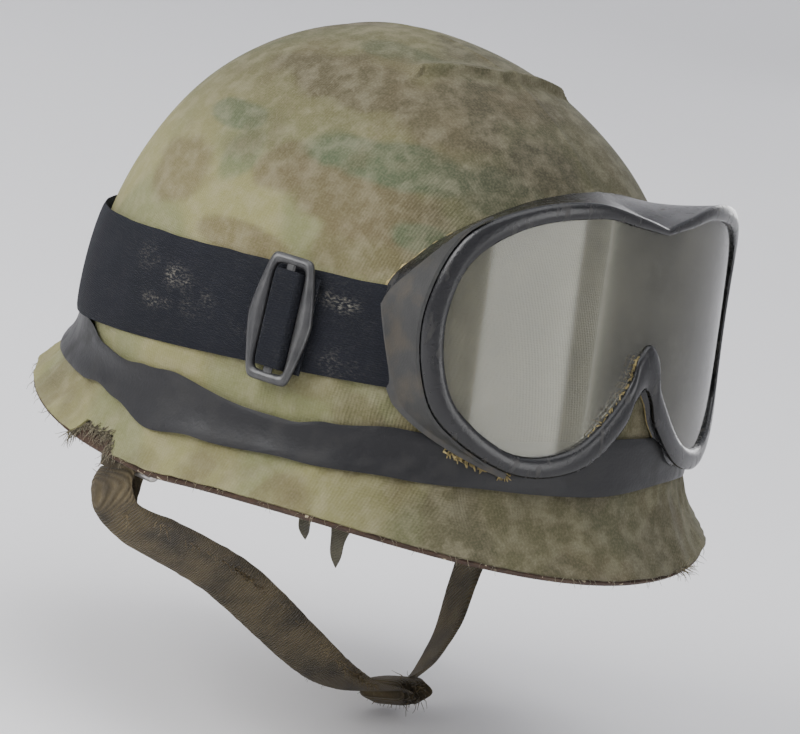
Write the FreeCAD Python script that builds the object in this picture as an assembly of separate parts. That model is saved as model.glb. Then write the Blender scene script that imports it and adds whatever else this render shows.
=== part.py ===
import FreeCAD, Part
import math
import os

# Cloth-covered steel combat helmet with liner, chin strap and a pair of dust goggles worn on the dome.
# Millimetres. Front faces -Y, the wearer's right is -X, +Z is up through the crown.
# The origin is the middle of the head opening at the height of the lowest side rim.

Vec = FreeCAD.Vector

# Outer surface of the cloth cover
CROWN_HEIGHT = 172.1
NECK_HEIGHT = 37.5
CROWN_SHIFT = 9.1
DOME_FRONT = 128.9
DOME_REAR = 122.8
DOME_SIDE = 112.0
DOME_POWER = 2.03
FRONT_ROUNDNESS = 2.07
SIDE_ROUNDNESS = 2.01
REAR_ROUNDNESS = 2.17

# Flared rim
RIM_FRONT = 147.0
RIM_REAR = 140.6
RIM_SIDE = 122.1
RIM_POWER = 2.08
RIM_SIDE_RISE = 15.0
RIM_REAR_RISE = 11.8

# Layers of the helmet wall, as offsets from the cover's outer surface (outside, inside)
COVER = (0.0, -1.0)
STEEL = (-1.7, -2.7)
LINER = (-6.4, -8.6)
COVER_END = 1.96
STEEL_END = 2.0
LINER_END = 1.55

# Folded strip round the steel rim
STRIP_OUTER = (-1.1, -1.6)
STRIP_INNER = (-2.8, -3.3)
STRIP_HEIGHT = 4.0
STRIP_GAP = 0.1
STRIP_THICKNESS = 0.6

# Cloth flaps of the cover: folded up inside the shell, or hanging loose below the rim
TUCK_FLAP = (-3.9, -4.7)
TUCK_FLAP_ANGLES = (0, 45, 150, 180, 210, 315)
TUCK_FLAP_HALF_ANGLE = 11
TUCK_FLAP_Z = (52, 18)
LOOSE_FLAP_OFFSET = -5.4
LOOSE_FLAP_ROOT = 7.0
LOOSE_FLAP_THICKNESS = 0.8
# Each loose flap as (angle, width, length)
LOOSE_FLAPS = [(56.5, 8, 17), (50, 9, 24)]

# Rubber band round the neck
BAND = (2.0, 0.5)
BAND_HALF_WIDTH = 10.0
BAND_SIDE_Z = 27.0
BAND_TILT = 4.5
BAND_END_RISE = 7.0

# Elastic strap of the goggles; its middle is higher at the front, and it narrows there
ELASTIC_Z = 65.0
ELASTIC_TILT = 11.5
ELASTIC_SIDE_RISE = 2.5
ELASTIC_HALF_WIDTH = 19.3
ELASTIC_NARROWING = 2.5
ELASTIC_GAP = 0.8
ELASTIC_THICKNESS = 1.6
ELASTIC_FRONT = 44.0
ELASTIC_OVER_BAND = 1.9
ELASTIC_REAR_START = 112.0
ELASTIC_REAR_FULL = 132.0

# Slide buckle on the elastic strap
BUCKLE_ANGLE = 69.0
BUCKLE_HEIGHT = 70.0
BUCKLE_LENGTH = 48.0
BUCKLE_END_WIDTH = 17.0
BUCKLE_MIDDLE_WIDTH = 27.0
BUCKLE_WINDOW = (13.4, 40.0)
BUCKLE_BASE = 4.3
BUCKLE_THICKNESS = 2.2
BUCKLE_BAR_WIDTH = 3.8
BUCKLE_SHOULDER = 3.0
PLEAT_LENGTH = 37.0
PLEAT_REACH = 12.0
PLEAT_SKIN = 1.3
PLEAT_GAP = 0.3

# Goggles: the front is part of a leaning cylinder, and the back edge follows the dome
GOGGLE_RADIUS = 131.0
GOGGLE_AXIS_Y = 2.6
GOGGLE_PIVOT_Z = 85.6
GOGGLE_LEAN = 6.2
FRAME_WALL = 2.6
FRAME_FLANGE = 4.5
FRAME_FLANGE_SHARE = 0.35
FRAME_ROUNDING = 0.6
FRAME_STANDOFF = 3.8
FOAM = (3.6, 2.6)
FOAM_WIDTH = 5.0
LENS_THICKNESS = 1.2
LENS_SETBACK = 2.0
LENS_LIP = 1.0
LENS_GAP = 0.1
WING_GAP = 0.9
WING_THICKNESS = 1.2
WING_TOP = (3.9, 4.95)
WING_FOOT = (7.5, 6.25)
WING_SETBACK = 1.5

# Half outlines of the goggles as (x, z), from the middle of the brow round one eye to the nose
OPENING = [(0, 127.5), (16, 130), (34, 132.2), (60, 126.6), (77.7, 112.3), (84, 91), (82.5, 68),
           (74.6, 53), (55, 42), (31, 47.4), (10.9, 67.5), (6, 80.6), (0, 86)]
CREST = [(0, 130.3), (14, 134), (37, 138), (62, 133), (81, 119), (89.4, 92), (88.3, 66),
         (80, 47.5), (56, 34.6), (29.8, 38.2), (11, 53), (5.4, 63.8), (0, 69)]
REAR_EDGE = [(0, 133.5), (18, 132), (38, 127.3), (59, 117.5), (75, 105), (86.5, 88), (87, 60),
             (79, 43.5), (57, 34), (29, 37.4), (10.7, 52), (5.2, 62.5), (0, 67.4)]

# Bales, lugs and chin strap
BALE_Y = 19.5
BALE_X = 109.5
LUG_Z = 6.0
BALE_DROP = 12.0
BALE_HALF_WIDTH = 14.5
BALE_CORNER = 2.5
BALE_WIRE = 1.5
PIVOT_GAP = 0.08
LUG_OUTER = 3.1
LUG_LENGTH = 18.0
LUG_PLATE = (-3.0, -4.6)
LUG_PLATE_Z = (24, 10)
LUG_PLATE_HALF_ANGLE = 4.5
LUG_NECK = (3.0, 5.0)
WEB_WIDTH = 23.6
WEB_THICKNESS = 1.8
WEB_LEAN = 16.4
WEB_INSET = 3.6
TAB_END = 16.0
KNOT_X = 46.0
KNOT_DROP = 97.5
KNOT_SIZE = (14.0, 26.0, 9.0)
KNOT_ROUNDING = 3.5
# Middle lines of the two halves of the chin strap, as (x, drop) from the bales to the knot
RIGHT_WEB = [(-98, 22), (-67, 37.5), (-22, 68), (0, 83.5), (17.5, 92)]
LEFT_WEB = [(63, 88.5), (77, 74.6), (89, 53), (100, 30)]

# Head suspension
SUSPENSION_Z = (66.0, 48.0)
SUSPENSION_RIVET_Z = 57.0
SUSPENSION_BAND = (-9.6, -10.9)
CROWN_STRAP_WIDTH = 22.0
CROWN_STRAP_THICKNESS = 1.2
CROWN_STRAP_TOP = 136.0
CROWN_STRAP_FOOT = (70.0, -15.2)
CROWN_STRAP_FLAT = 20.0
CROWN_STRAP_STEP = 1.5
BAND_SAG = 16.0
HEADBAND = (95.0, 80.0)
HEADBAND_Y = -2.0
HEADBAND_Z = (27.0, 55.0)
HEADBAND_THICKNESS = 1.6
RIVET_ANGLES = (30, 90, 150, 210, 270, 330)
CLIP_ANGLES = (0, 60, 120, 180, 240, 300)
RIVET_RADIUS = 1.75
RIVET_HOLE = 1.9
RIVET_HEAD = 4.5
RIVET_TAIL = 3.6
RIVET_TAIL_THICKNESS = 0.8
SUSPENSION_TAIL = -13.6
NAPE_TAIL = -11.6
WASHER_OFFSET = -13.4
WASHER_THICKNESS = 1.0
NAPE_ANGLES = (127, 233)
NAPE_Z = (38.0, 20.0)
NAPE_STRAP = (-9.4, -10.7)
NAPE_SAG = 7.0
NAPE_MIDDLE = 180
NAPE_HALF_ANGLE = 60
NAPE_STUD_Z = 29.0
EYELET_Z = 86.0
EYELET_BORE = 2.1
EYELET_BARREL = 2.8
EYELET_FLANGE = 5.0
EYELET_HOLE = 3.0

STATIONS = 36


def plan_radius(phi, front, rear, side, power):
    """Distance from the middle to a rounded plan outline; phi runs from the front to the right."""
    along = front if math.cos(phi) > 0 else rear
    fore = abs(math.cos(phi)) / along
    across = abs(math.sin(phi)) / side
    return (fore ** power + across ** power) ** (-1 / power)


def rim_height(phi):
    fore = max(math.cos(phi), 0)
    aft = max(-math.cos(phi), 0)
    return RIM_SIDE_RISE * math.sin(phi) ** 2 * fore + RIM_REAR_RISE * aft ** 3


def roundness(phi):
    fore = math.cos(phi) ** 2
    end = FRONT_ROUNDNESS if math.cos(phi) > 0 else REAR_ROUNDNESS
    return end * fore + SIDE_ROUNDNESS * (1 - fore)


def meridian(phi, level):
    """Radius and height of the cover; level is 0 at the crown, 1 at the neck and 2 at the rim."""
    neck = plan_radius(phi, DOME_FRONT, DOME_REAR, DOME_SIDE, DOME_POWER)
    if level <= 1:
        power = 2 / roundness(phi)
        angle = level * math.pi / 2
        rise = max(math.cos(angle), 0) ** power
        height = NECK_HEIGHT + (CROWN_HEIGHT - NECK_HEIGHT) * rise
        return neck * math.sin(angle) ** power, height
    rim = plan_radius(phi, RIM_FRONT, RIM_REAR, RIM_SIDE, RIM_POWER)
    fall = level - 1
    return neck + fall ** 2 * (rim - neck), NECK_HEIGHT + fall * (rim_height(phi) - NECK_HEIGHT)


def level_at(phi, height):
    """The level at which the cover's outer surface has the given height."""
    if height <= NECK_HEIGHT:
        return 1 + (NECK_HEIGHT - height) / (NECK_HEIGHT - rim_height(phi))
    rise = (height - NECK_HEIGHT) / (CROWN_HEIGHT - NECK_HEIGHT)
    return math.acos(rise ** (roundness(phi) / 2)) * 2 / math.pi


def wall_point(phi, level, offset=0.0):
    """A point at some distance outside (positive) or inside the cover's outer surface."""
    step = 0.001
    above_r, above_z = meridian(phi, level - step)
    below_r, below_z = meridian(phi, level + step)
    length = math.hypot(below_r - above_r, below_z - above_z)
    radius, height = meridian(phi, level)
    lean = CROWN_SHIFT * max(height - NECK_HEIGHT, 0) / (CROWN_HEIGHT - NECK_HEIGHT)
    radius += offset * (above_z - below_z) / length
    height += offset * (below_r - above_r) / length
    return Vec(-radius * math.sin(phi), lean - radius * math.cos(phi), height)


def surface_point(phi, height, offset=0.0):
    return wall_point(phi, level_at(phi, height), offset)


def wall_frame(angle, height):
    """Point of the cover's surface with its outward normal, level tangent and upright tangent."""
    phi = math.radians(angle)
    step = math.radians(0.5)
    place = surface_point(phi, height)
    across = surface_point(phi + step, height) - surface_point(phi - step, height)
    upright = surface_point(phi, height + 1) - surface_point(phi, height - 1)
    across.normalize()
    upright.normalize()
    normal = upright.cross(across)
    normal.normalize()
    return place, normal, across, upright


def ring(point, stations=STATIONS):
    """Closed smooth curve through point(phi) all the way round."""
    curve = Part.BSplineCurve()
    points = [point(2 * math.pi * k / stations) for k in range(stations)]
    curve.interpolate(Points=points, PeriodicFlag=True)
    return curve.toShape()


def arc_curve(point, start, end):
    """Open smooth curve through point(phi) from one angle to another."""
    count = 9 + int(abs(end - start) / math.radians(8))
    points = [point(start + (end - start) * k / (count - 1)) for k in range(count)]
    curve = Part.BSplineCurve()
    curve.interpolate(Points=points)
    return curve.toShape()


def closed_solid(faces):
    shape = Part.makeCompound(faces)
    shape.sewShape(0.001)
    solid = Part.Solid(Part.Shell(shape.Faces))
    if solid.Volume < 0:
        solid.reverse()
    return solid


def crown_ring(level, offset):
    """Flat ring close to the crown, so that a disc can close it."""
    height = wall_point(math.pi / 2, level, offset).z

    def point(phi):
        place = wall_point(phi, level, offset)
        return Vec(place.x, place.y, height)
    return ring(point)


def dome_rings(offset, end, top=0.05, rows=22):
    levels = [top + (end - top) * k / (rows - 1) for k in range(1, rows)]
    rings = [ring(lambda phi, level=level: wall_point(phi, level, offset)) for level in levels]
    return [crown_ring(top, offset)] + rings


def loft_faces(rings):
    return Part.makeLoft([Part.Wire([edge]) for edge in rings], False, False).Faces


def bowl(layer, end):
    """Thin dome between two offsets of the cover's surface, open at the bottom."""
    faces = []
    rims = []
    for offset in layer:
        rings = dome_rings(offset, end)
        faces.extend(loft_faces(rings))
        faces.append(Part.Face(Part.Wire([rings[0]])))
        rims.append(rings[-1])
    faces.append(Part.makeRuledSurface(rims[0], rims[1]))
    return closed_solid(faces)


def hoop(section, stations=STATIONS):
    """Closed band; section(phi) lists the corners of its outline at each angle."""
    rings = [ring(lambda phi, k=k: section(phi)[k], stations) for k in range(len(section(0)))]
    return closed_solid([Part.makeRuledSurface(rings[k - 1], rings[k]) for k in range(len(rings))])


def ribbon(section, start, end):
    """Open band from one angle to another; section(phi) lists outer points down, then inner up."""
    size = len(section(start))
    curves = [arc_curve(lambda phi, k=k: section(phi)[k], start, end) for k in range(size)]
    faces = [Part.makeRuledSurface(curves[k - 1], curves[k]) for k in range(size)]
    for angle in (start, end):
        corners = section(angle)
        for k in range(size // 2 - 1):
            outer = Part.makeLine(corners[k], corners[k + 1])
            inner = Part.makeLine(corners[size - 1 - k], corners[size - 2 - k])
            faces.append(Part.makeRuledSurface(outer, inner))
    return closed_solid(faces)


def band_section(phi, top, bottom, outside, inside, rows=5):
    """Outline of a flat band that lies on the dome between two heights."""
    heights = [top + (bottom - top) * k / (rows - 1) for k in range(rows)]
    outer = [surface_point(phi, height, outside) for height in heights]
    inner = [surface_point(phi, height, inside) for height in reversed(heights)]
    return outer + inner


def smooth_step(value, start, end):
    share = min(max((value - start) / (end - start), 0), 1)
    return share * share * (3 - 2 * share)


# Helmet shell and its cover

def rim_strip():
    def section(phi):
        fall = NECK_HEIGHT - rim_height(phi)
        top = 2 - STRIP_HEIGHT / fall
        groove = 2 + STRIP_GAP / fall
        foot = groove + STRIP_THICKNESS / fall
        corners = [
            (top, STRIP_OUTER[0]), (foot, STRIP_OUTER[0]), (foot, STRIP_INNER[1]), (top, STRIP_INNER[1]),
            (top, STRIP_INNER[0]), (groove, STRIP_INNER[0]), (groove, STRIP_OUTER[1]), (top, STRIP_OUTER[1]),
        ]
        return [wall_point(phi, level, offset) for level, offset in corners]
    return hoop(section)


def tuck_flap(middle):
    """Cloth flap of the cover, folded up between the steel shell and the liner."""
    start = math.radians(middle - TUCK_FLAP_HALF_ANGLE)
    end = math.radians(middle + TUCK_FLAP_HALF_ANGLE)
    return ribbon(lambda phi: band_section(phi, *TUCK_FLAP_Z, *TUCK_FLAP), start, end)


def cover_tuck_flaps():
    return Part.makeCompound([tuck_flap(middle) for middle in TUCK_FLAP_ANGLES])


def loose_flap(middle, width, length):
    """Pointed end of a cover flap that has worked loose and hangs below the rim."""
    phi = math.radians(middle)
    root = surface_point(phi, rim_height(phi) + LOOSE_FLAP_ROOT, LOOSE_FLAP_OFFSET)
    side = Vec(-math.cos(phi), math.sin(phi), 0)
    inward = Vec(math.sin(phi), math.cos(phi), 0)
    down = Vec(0, 0, -1)
    corners = [
        root - side * width / 2, root + side * width / 2,
        root + side * width * 0.35 + down * length * 0.6, root + down * length,
        root - side * width * 0.42 + down * length * 0.5,
    ]
    outline = Part.makePolygon(corners + corners[:1])
    return Part.Face(outline).extrude(inward * LOOSE_FLAP_THICKNESS)


def loose_cover_flaps():
    return Part.makeCompound([loose_flap(*flap) for flap in LOOSE_FLAPS])


def rubber_band():
    def section(phi):
        forward = math.cos(phi)
        middle = BAND_SIDE_Z + BAND_TILT * forward + BAND_END_RISE * forward ** 2
        return band_section(phi, middle + BAND_HALF_WIDTH, middle - BAND_HALF_WIDTH, *BAND)
    return hoop(section)


# Goggles

def elastic_middle(phi):
    return ELASTIC_Z + ELASTIC_TILT * math.cos(phi) + ELASTIC_SIDE_RISE * math.sin(phi) ** 2


def elastic_half_width(phi):
    return ELASTIC_HALF_WIDTH - ELASTIC_NARROWING * math.cos(phi)


def elastic_section(phi):
    """The strap lifts a little towards the back, where it lies over the rubber band."""
    turn = abs(math.degrees(math.atan2(math.sin(phi), math.cos(phi))))
    base = ELASTIC_GAP + ELASTIC_OVER_BAND * smooth_step(turn, ELASTIC_REAR_START, ELASTIC_REAR_FULL)
    middle = elastic_middle(phi)
    half = elastic_half_width(phi)
    return band_section(phi, middle + half, middle - half, base + ELASTIC_THICKNESS, base, 6)


def elastic_strap():
    start = math.radians(ELASTIC_FRONT)
    return ribbon(elastic_section, start, 2 * math.pi - start)


def outline_curve(half):
    """Flat closed curve through a half outline and its mirror image, with a corner at the brow."""
    near = [Vec(-x, 0, z) for x, z in half]
    far = [Vec(x, 0, z) for x, z in reversed(half[:-1])]
    curve = Part.BSplineCurve()
    curve.interpolate(Points=near + far, Parameters=list(range(2 * len(half) - 1)))
    return curve


def outline_point(curve, t, inset=0.0):
    """Point at outline number t, moved towards the inside of the outline."""
    tangent = curve.tangent(t)[0]
    return curve.value(t) + Vec(-tangent.z, 0, tangent.x) * inset


def front_point(place, setback):
    """Moves a flat outline point onto the goggles' curved front, or some distance behind it."""
    lean = math.radians(GOGGLE_LEAN)
    axis_y = GOGGLE_AXIS_Y + (place.z - GOGGLE_PIVOT_Z) * math.tan(lean)
    radius = GOGGLE_RADIUS - setback
    return Vec(place.x, axis_y - math.sqrt(radius ** 2 - place.x ** 2) / math.cos(lean), place.z)


def dome_point(place, offset):
    """Moves a flat outline point back until it is at an offset from the cover."""
    low, high = 0.0, math.pi / 2
    for _ in range(40):
        phi = (low + high) / 2
        if -surface_point(phi, place.z, offset).x < abs(place.x):
            low = phi
        else:
            high = phi
    return surface_point(math.copysign(phi, -place.x), place.z, offset)


def goggle_loop(section, stations=72):
    """Closed body round the goggles; section(t) lists its corners at outline number t."""
    last = 2 * len(OPENING) - 2
    numbers = [last * k / stations for k in range(stations + 1)]
    rows = [section(t) for t in numbers]
    curves = []
    for corner in range(len(rows[0])):
        points = [row[corner] for row in rows]
        points[-1] = points[0]
        curve = Part.BSplineCurve()
        curve.interpolate(Points=points)
        curves.append(curve.toShape())
    return closed_solid([Part.makeRuledSurface(curves[k - 1], curves[k]) for k in range(len(curves))])


def front_cylinder(setback):
    """Everything behind the goggles' curved front, moved back by a distance."""
    reach = 110.0
    lean = math.radians(GOGGLE_LEAN)
    axis = Vec(0, math.sin(lean), math.cos(lean))
    base = Vec(0, GOGGLE_AXIS_Y, GOGGLE_PIVOT_Z) - axis * reach
    return Part.makeCylinder(GOGGLE_RADIUS - setback, 2 * reach, base, axis)


def lens(gap=0.0):
    curve = outline_curve(OPENING)
    last = 2 * len(OPENING) - 2
    points = [outline_point(curve, last * k / 72, -LENS_LIP - gap) for k in range(72)]
    edge = Part.BSplineCurve()
    edge.interpolate(Points=points + points[:1])
    face = Part.Face(Part.Wire([edge.toShape()]))
    face.translate(Vec(0, -70, 0))
    front = front_cylinder(LENS_SETBACK - gap)
    back = front_cylinder(LENS_SETBACK + LENS_THICKNESS + gap)
    return face.extrude(Vec(0, -80, 0)).common(front.cut(back)).Solids[0]


def goggle_frame():
    opening = outline_curve(OPENING)
    crest = outline_curve(CREST)
    rear = outline_curve(REAR_EDGE)

    def flange_back(place):
        """Back of the lens flange, or the clearance off the dome where that comes first."""
        behind = front_point(place, FRAME_FLANGE)
        clear = dome_point(place, FRAME_STANDOFF)
        return behind if behind.y < clear.y else clear

    def section(t):
        inner = outline_point(opening, t)
        outer = outline_point(crest, t)
        step = inner + (outer - inner) * FRAME_FLANGE_SHARE
        return [
            front_point(inner, FRAME_ROUNDING),
            front_point(outer, 0),
            dome_point(outline_point(rear, t), FRAME_STANDOFF),
            dome_point(outline_point(rear, t, FRAME_WALL), FRAME_STANDOFF),
            flange_back(step),
            flange_back(inner),
        ]
    return goggle_loop(section).cut(lens(LENS_GAP)).Solids[0]


def goggle_foam():
    """Face seal between the frame's back edge and the dome."""
    rear = outline_curve(REAR_EDGE)
    outside, inside = FOAM

    def section(t):
        corners = [(0.3, outside), (0.3, inside), (FOAM_WIDTH, inside), (FOAM_WIDTH, outside)]
        return [dome_point(outline_point(rear, t, inset), offset) for inset, offset in corners]
    return goggle_loop(section)


def strap_wing(side):
    """Plate on the side of the frame that carries the end of the elastic strap.

    WING_TOP and WING_FOOT are its ends as outline numbers, at the crest and at the back edge.
    """
    crest = outline_curve(CREST)
    rear = outline_curve(REAR_EDGE)
    last = 2 * len(CREST) - 2

    def wall(t, share, offset):
        number = t if side < 0 else last - t
        outer = outline_point(crest, number, -offset)
        back = outline_point(rear, number, -offset)
        front = front_point(outer, WING_SETBACK)
        return front + (dome_point(back, FRAME_STANDOFF) - front) * share

    def section(down):
        rows = []
        for share in (0.0, 0.34, 0.67, 1.0):
            top = WING_TOP[0] + (WING_TOP[1] - WING_TOP[0]) * share
            bottom = WING_FOOT[0] + (WING_FOOT[1] - WING_FOOT[0]) * share
            rows.append((top + (bottom - top) * down, share))
        outer = [wall(t, share, WING_GAP + WING_THICKNESS) for t, share in rows]
        inner = [wall(t, share, WING_GAP) for t, share in reversed(rows)]
        return outer + inner
    return ribbon(section, 0.0, 1.0)


def buckle_plate(corners, base, thickness):
    place, normal, across, upright = wall_frame(BUCKLE_ANGLE, BUCKLE_HEIGHT)
    points = [place + across * u + upright * v + normal * base for u, v in corners]
    return Part.Face(Part.makePolygon(points + points[:1])).extrude(normal * thickness)


def slide_buckle():
    """Six-sided frame with a middle bar that the strap is folded over."""
    half = BUCKLE_LENGTH / 2
    end = BUCKLE_END_WIDTH / 2
    middle = BUCKLE_MIDDLE_WIDTH / 2
    corners = [(-end, half), (end, half), (middle, BUCKLE_SHOULDER), (middle, -BUCKLE_SHOULDER),
               (end, -half), (-end, -half), (-middle, -BUCKLE_SHOULDER), (-middle, BUCKLE_SHOULDER)]
    window_x = BUCKLE_WINDOW[0] / 2
    window_y = BUCKLE_WINDOW[1] / 2
    window = [(-window_x, -window_y), (window_x, -window_y), (window_x, window_y), (-window_x, window_y)]
    bar_x = BUCKLE_BAR_WIDTH / 2
    bar_y = window_y + 0.5
    bar = [(-bar_x, -bar_y), (bar_x, -bar_y), (bar_x, bar_y), (-bar_x, bar_y)]
    plate = buckle_plate(corners, BUCKLE_BASE, BUCKLE_THICKNESS)
    hole = buckle_plate(window, BUCKLE_BASE - 1, BUCKLE_THICKNESS + 2)
    return plate.cut(hole).fuse(buckle_plate(bar, BUCKLE_BASE, BUCKLE_THICKNESS)).removeSplitter()


def strap_pleat():
    """Fold of the elastic strap that passes under the buckle's rails and over its bar."""
    place, normal, across, upright = wall_frame(BUCKLE_ANGLE, BUCKLE_HEIGHT)
    low = ELASTIC_GAP + ELASTIC_THICKNESS + PLEAT_GAP
    high = BUCKLE_BASE + BUCKLE_THICKNESS + 0.4
    top = 2.8
    foot_in = 5.4
    foot_out = 6.2
    reach = PLEAT_REACH
    inner = [(-reach, low), (-foot_in, low), (-top, high), (top, high), (foot_in, low), (reach, low)]
    low += PLEAT_SKIN
    high += PLEAT_SKIN
    top += 1.0
    outer = [(reach, low), (foot_out, low), (top, high), (-top, high), (-foot_out, low), (-reach, low)]
    foot = upright * (-PLEAT_LENGTH / 2)
    points = [place + across * u + normal * n + foot for u, n in inner + outer]
    return Part.Face(Part.makePolygon(points + points[:1])).extrude(upright * PLEAT_LENGTH)


# Bales and chin strap; side is -1 on the wearer's right and 1 on the left

def round_bar(centre, radius, half_length):
    start = centre - Vec(0, half_length, 0)
    return Part.makeCylinder(radius, 2 * half_length, start, Vec(0, 1, 0))


def bale_lug(side):
    """Plate welded inside the shell, with a curled knuckle that holds the bale's upper bar."""
    axis = Vec(side * BALE_X, BALE_Y, LUG_Z)
    phi = math.atan2(-axis.x, -axis.y)
    half = math.radians(LUG_PLATE_HALF_ANGLE)
    plate = ribbon(lambda angle: band_section(angle, *LUG_PLATE_Z, *LUG_PLATE), phi - half, phi + half)
    knuckle = round_bar(axis, LUG_OUTER, LUG_LENGTH / 2)
    width, height = LUG_NECK
    neck = Part.makeBox(width, LUG_LENGTH, height)
    neck.translate(Vec(axis.x - width / 2, BALE_Y - LUG_LENGTH / 2, LUG_Z + 0.5))
    lug = plate.fuse(neck).fuse(knuckle)
    lug = lug.cut(round_bar(axis, BALE_WIRE + PIVOT_GAP, LUG_LENGTH))
    return lug.removeSplitter()


def bale(side):
    """Closed wire loop that hangs from its lug."""
    x = side * BALE_X
    top = LUG_Z
    bottom = LUG_Z - BALE_DROP
    rear = BALE_Y + BALE_HALF_WIDTH
    front = BALE_Y - BALE_HALF_WIDTH
    parts = []
    for height in (top, bottom):
        parts.append(round_bar(Vec(x, BALE_Y, height), BALE_WIRE, BALE_HALF_WIDTH - BALE_CORNER))
    for y in (front, rear):
        start = Vec(x, y, bottom + BALE_CORNER)
        parts.append(Part.makeCylinder(BALE_WIRE, BALE_DROP - 2 * BALE_CORNER, start, Vec(0, 0, 1)))
    for y, z, turn in ((rear, top, 0), (front, top, 90), (front, bottom, 180), (rear, bottom, 270)):
        circle = Part.makeCircle(BALE_WIRE, Vec(0, BALE_CORNER, 0), Vec(0, 0, 1))
        corner = Part.Face(Part.Wire([circle])).revolve(Vec(0, 0, 0), Vec(1, 0, 0), 90)
        corner.rotate(Vec(0, 0, 0), Vec(1, 0, 0), turn)
        inset_y = -BALE_CORNER if y == rear else BALE_CORNER
        inset_z = -BALE_CORNER if z == top else BALE_CORNER
        corner.translate(Vec(x, y + inset_y, z + inset_z))
        parts.append(corner)
    return parts[0].fuse(parts[1:]).removeSplitter()


def strap_end(side):
    """Webbing folded round the bale's lower bar and sewn back on itself."""
    axis = Vec(side * BALE_X, BALE_Y, LUG_Z - BALE_DROP)
    outer = BALE_WIRE + PIVOT_GAP + WEB_THICKNESS
    sleeve = round_bar(axis, outer, WEB_WIDTH / 2)
    tab = Part.makeBox(outer, WEB_WIDTH, TAB_END)
    left = axis.x - outer if side > 0 else axis.x
    tab.translate(Vec(left, BALE_Y - WEB_WIDTH / 2, axis.z - TAB_END))
    return sleeve.fuse(tab).cut(round_bar(axis, BALE_WIRE + PIVOT_GAP, WEB_WIDTH)).removeSplitter()


def strap_place(x, drop, width=0.0):
    """Point of the hanging strap: drop is measured down its leaning plane from the bale's lower bar."""
    lean = math.radians(WEB_LEAN)
    y = BALE_Y - drop * math.sin(lean) + width * math.cos(lean)
    z = LUG_Z - BALE_DROP - drop * math.cos(lean) - width * math.sin(lean)
    return Vec(x, y, z)


def webbing(path):
    """Flat webbing along a path of (x, drop) points."""
    middle = Part.BSplineCurve()
    middle.interpolate(Points=[Vec(x, -drop, 0) for x, drop in path])
    first, last = middle.FirstParameter, middle.LastParameter
    sides = []
    for sign in (-1, 1):
        points = []
        for k in range(17):
            at = first + (last - first) * k / 16
            place = middle.value(at)
            tangent = middle.tangent(at)[0]
            place = place + Vec(-tangent.y, tangent.x, 0) * sign * WEB_THICKNESS / 2
            points.append(strap_place(place.x, -place.y, -WEB_WIDTH / 2))
        curve = Part.BSplineCurve()
        curve.interpolate(Points=points)
        sides.append(curve.toShape())
    width = strap_place(0, 0, WEB_WIDTH) - strap_place(0, 0)
    return Part.Face(Part.makeRuledSurface(sides[0], sides[1]).Surface).extrude(width)


WEB_X = BALE_X - WEB_INSET - WEB_THICKNESS / 2 + 0.1


def right_chin_strap():
    knot_side = (KNOT_X - KNOT_SIZE[0] / 2 - 0.3, KNOT_DROP)
    return webbing([(-WEB_X, 8), (-WEB_X + 0.6, 14)] + RIGHT_WEB + [knot_side])


def left_chin_strap():
    knot_side = (KNOT_X + KNOT_SIZE[0] / 2 + 0.3, KNOT_DROP - 3)
    return webbing([knot_side] + LEFT_WEB + [(WEB_X - 0.6, 14.5), (WEB_X, 8)])


def strap_knot():
    """Frayed tie that joins the two halves of the chin strap."""
    length, width, height = KNOT_SIZE
    knot = Part.makeBox(length, width, height)
    knot = knot.makeFillet(KNOT_ROUNDING, knot.Edges)
    knot.translate(Vec(-length / 2, -width / 2, -height / 2))
    knot.rotate(Vec(0, 0, 0), Vec(1, 0, 0), -WEB_LEAN)
    knot.translate(strap_place(KNOT_X, KNOT_DROP))
    return knot


# Liner and head suspension

def wall_pin(angle, height, radius, inside, outside):
    """Round pin square to the wall, between two distances from the cover's surface."""
    place, normal, across, upright = wall_frame(angle, height)
    return Part.makeCylinder(radius, outside - inside, place + normal * inside, normal)


def wall_hole(angle, height, radius=RIVET_HOLE):
    return wall_pin(angle, height, radius, -18, 0)


def liner_shell():
    liner = bowl(LINER, LINER_END)
    for angle in RIVET_ANGLES:
        liner = liner.cut(wall_hole(angle, SUSPENSION_RIVET_Z))
    for angle in NAPE_ANGLES:
        liner = liner.cut(wall_hole(angle, NAPE_STUD_Z))
    return liner.cut(wall_hole(0, EYELET_Z, EYELET_HOLE))


def suspension_band():
    """Webbing loop that touches the liner only at its rivets and sags inward between them."""
    outside, inside = SUSPENSION_BAND

    def section(phi):
        sag = BAND_SAG * math.cos(3 * phi) ** 4
        return band_section(phi, *SUSPENSION_Z, outside - sag, inside - sag)
    band = hoop(section, 2 * STATIONS)
    for angle in RIVET_ANGLES:
        band = band.cut(wall_hole(angle, SUSPENSION_RIVET_Z))
    return band


def rivet(angle, height, tail):
    """Round rivet through the liner wall, with its head outside and its tail at a depth inside."""
    end = tail - RIVET_TAIL_THICKNESS
    shank = wall_pin(angle, height, RIVET_RADIUS, end, -5.5)
    head = wall_pin(angle, height, RIVET_HEAD, -5.8, -4.6)
    inner = wall_pin(angle, height, RIVET_TAIL, end, tail)
    return shank.fuse([head, inner]).removeSplitter()


def suspension_rivets():
    return Part.makeCompound([rivet(angle, SUSPENSION_RIVET_Z, SUSPENSION_TAIL) for angle in RIVET_ANGLES])


def nape_studs():
    return Part.makeCompound([rivet(angle, NAPE_STUD_Z, NAPE_TAIL) for angle in NAPE_ANGLES])


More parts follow.
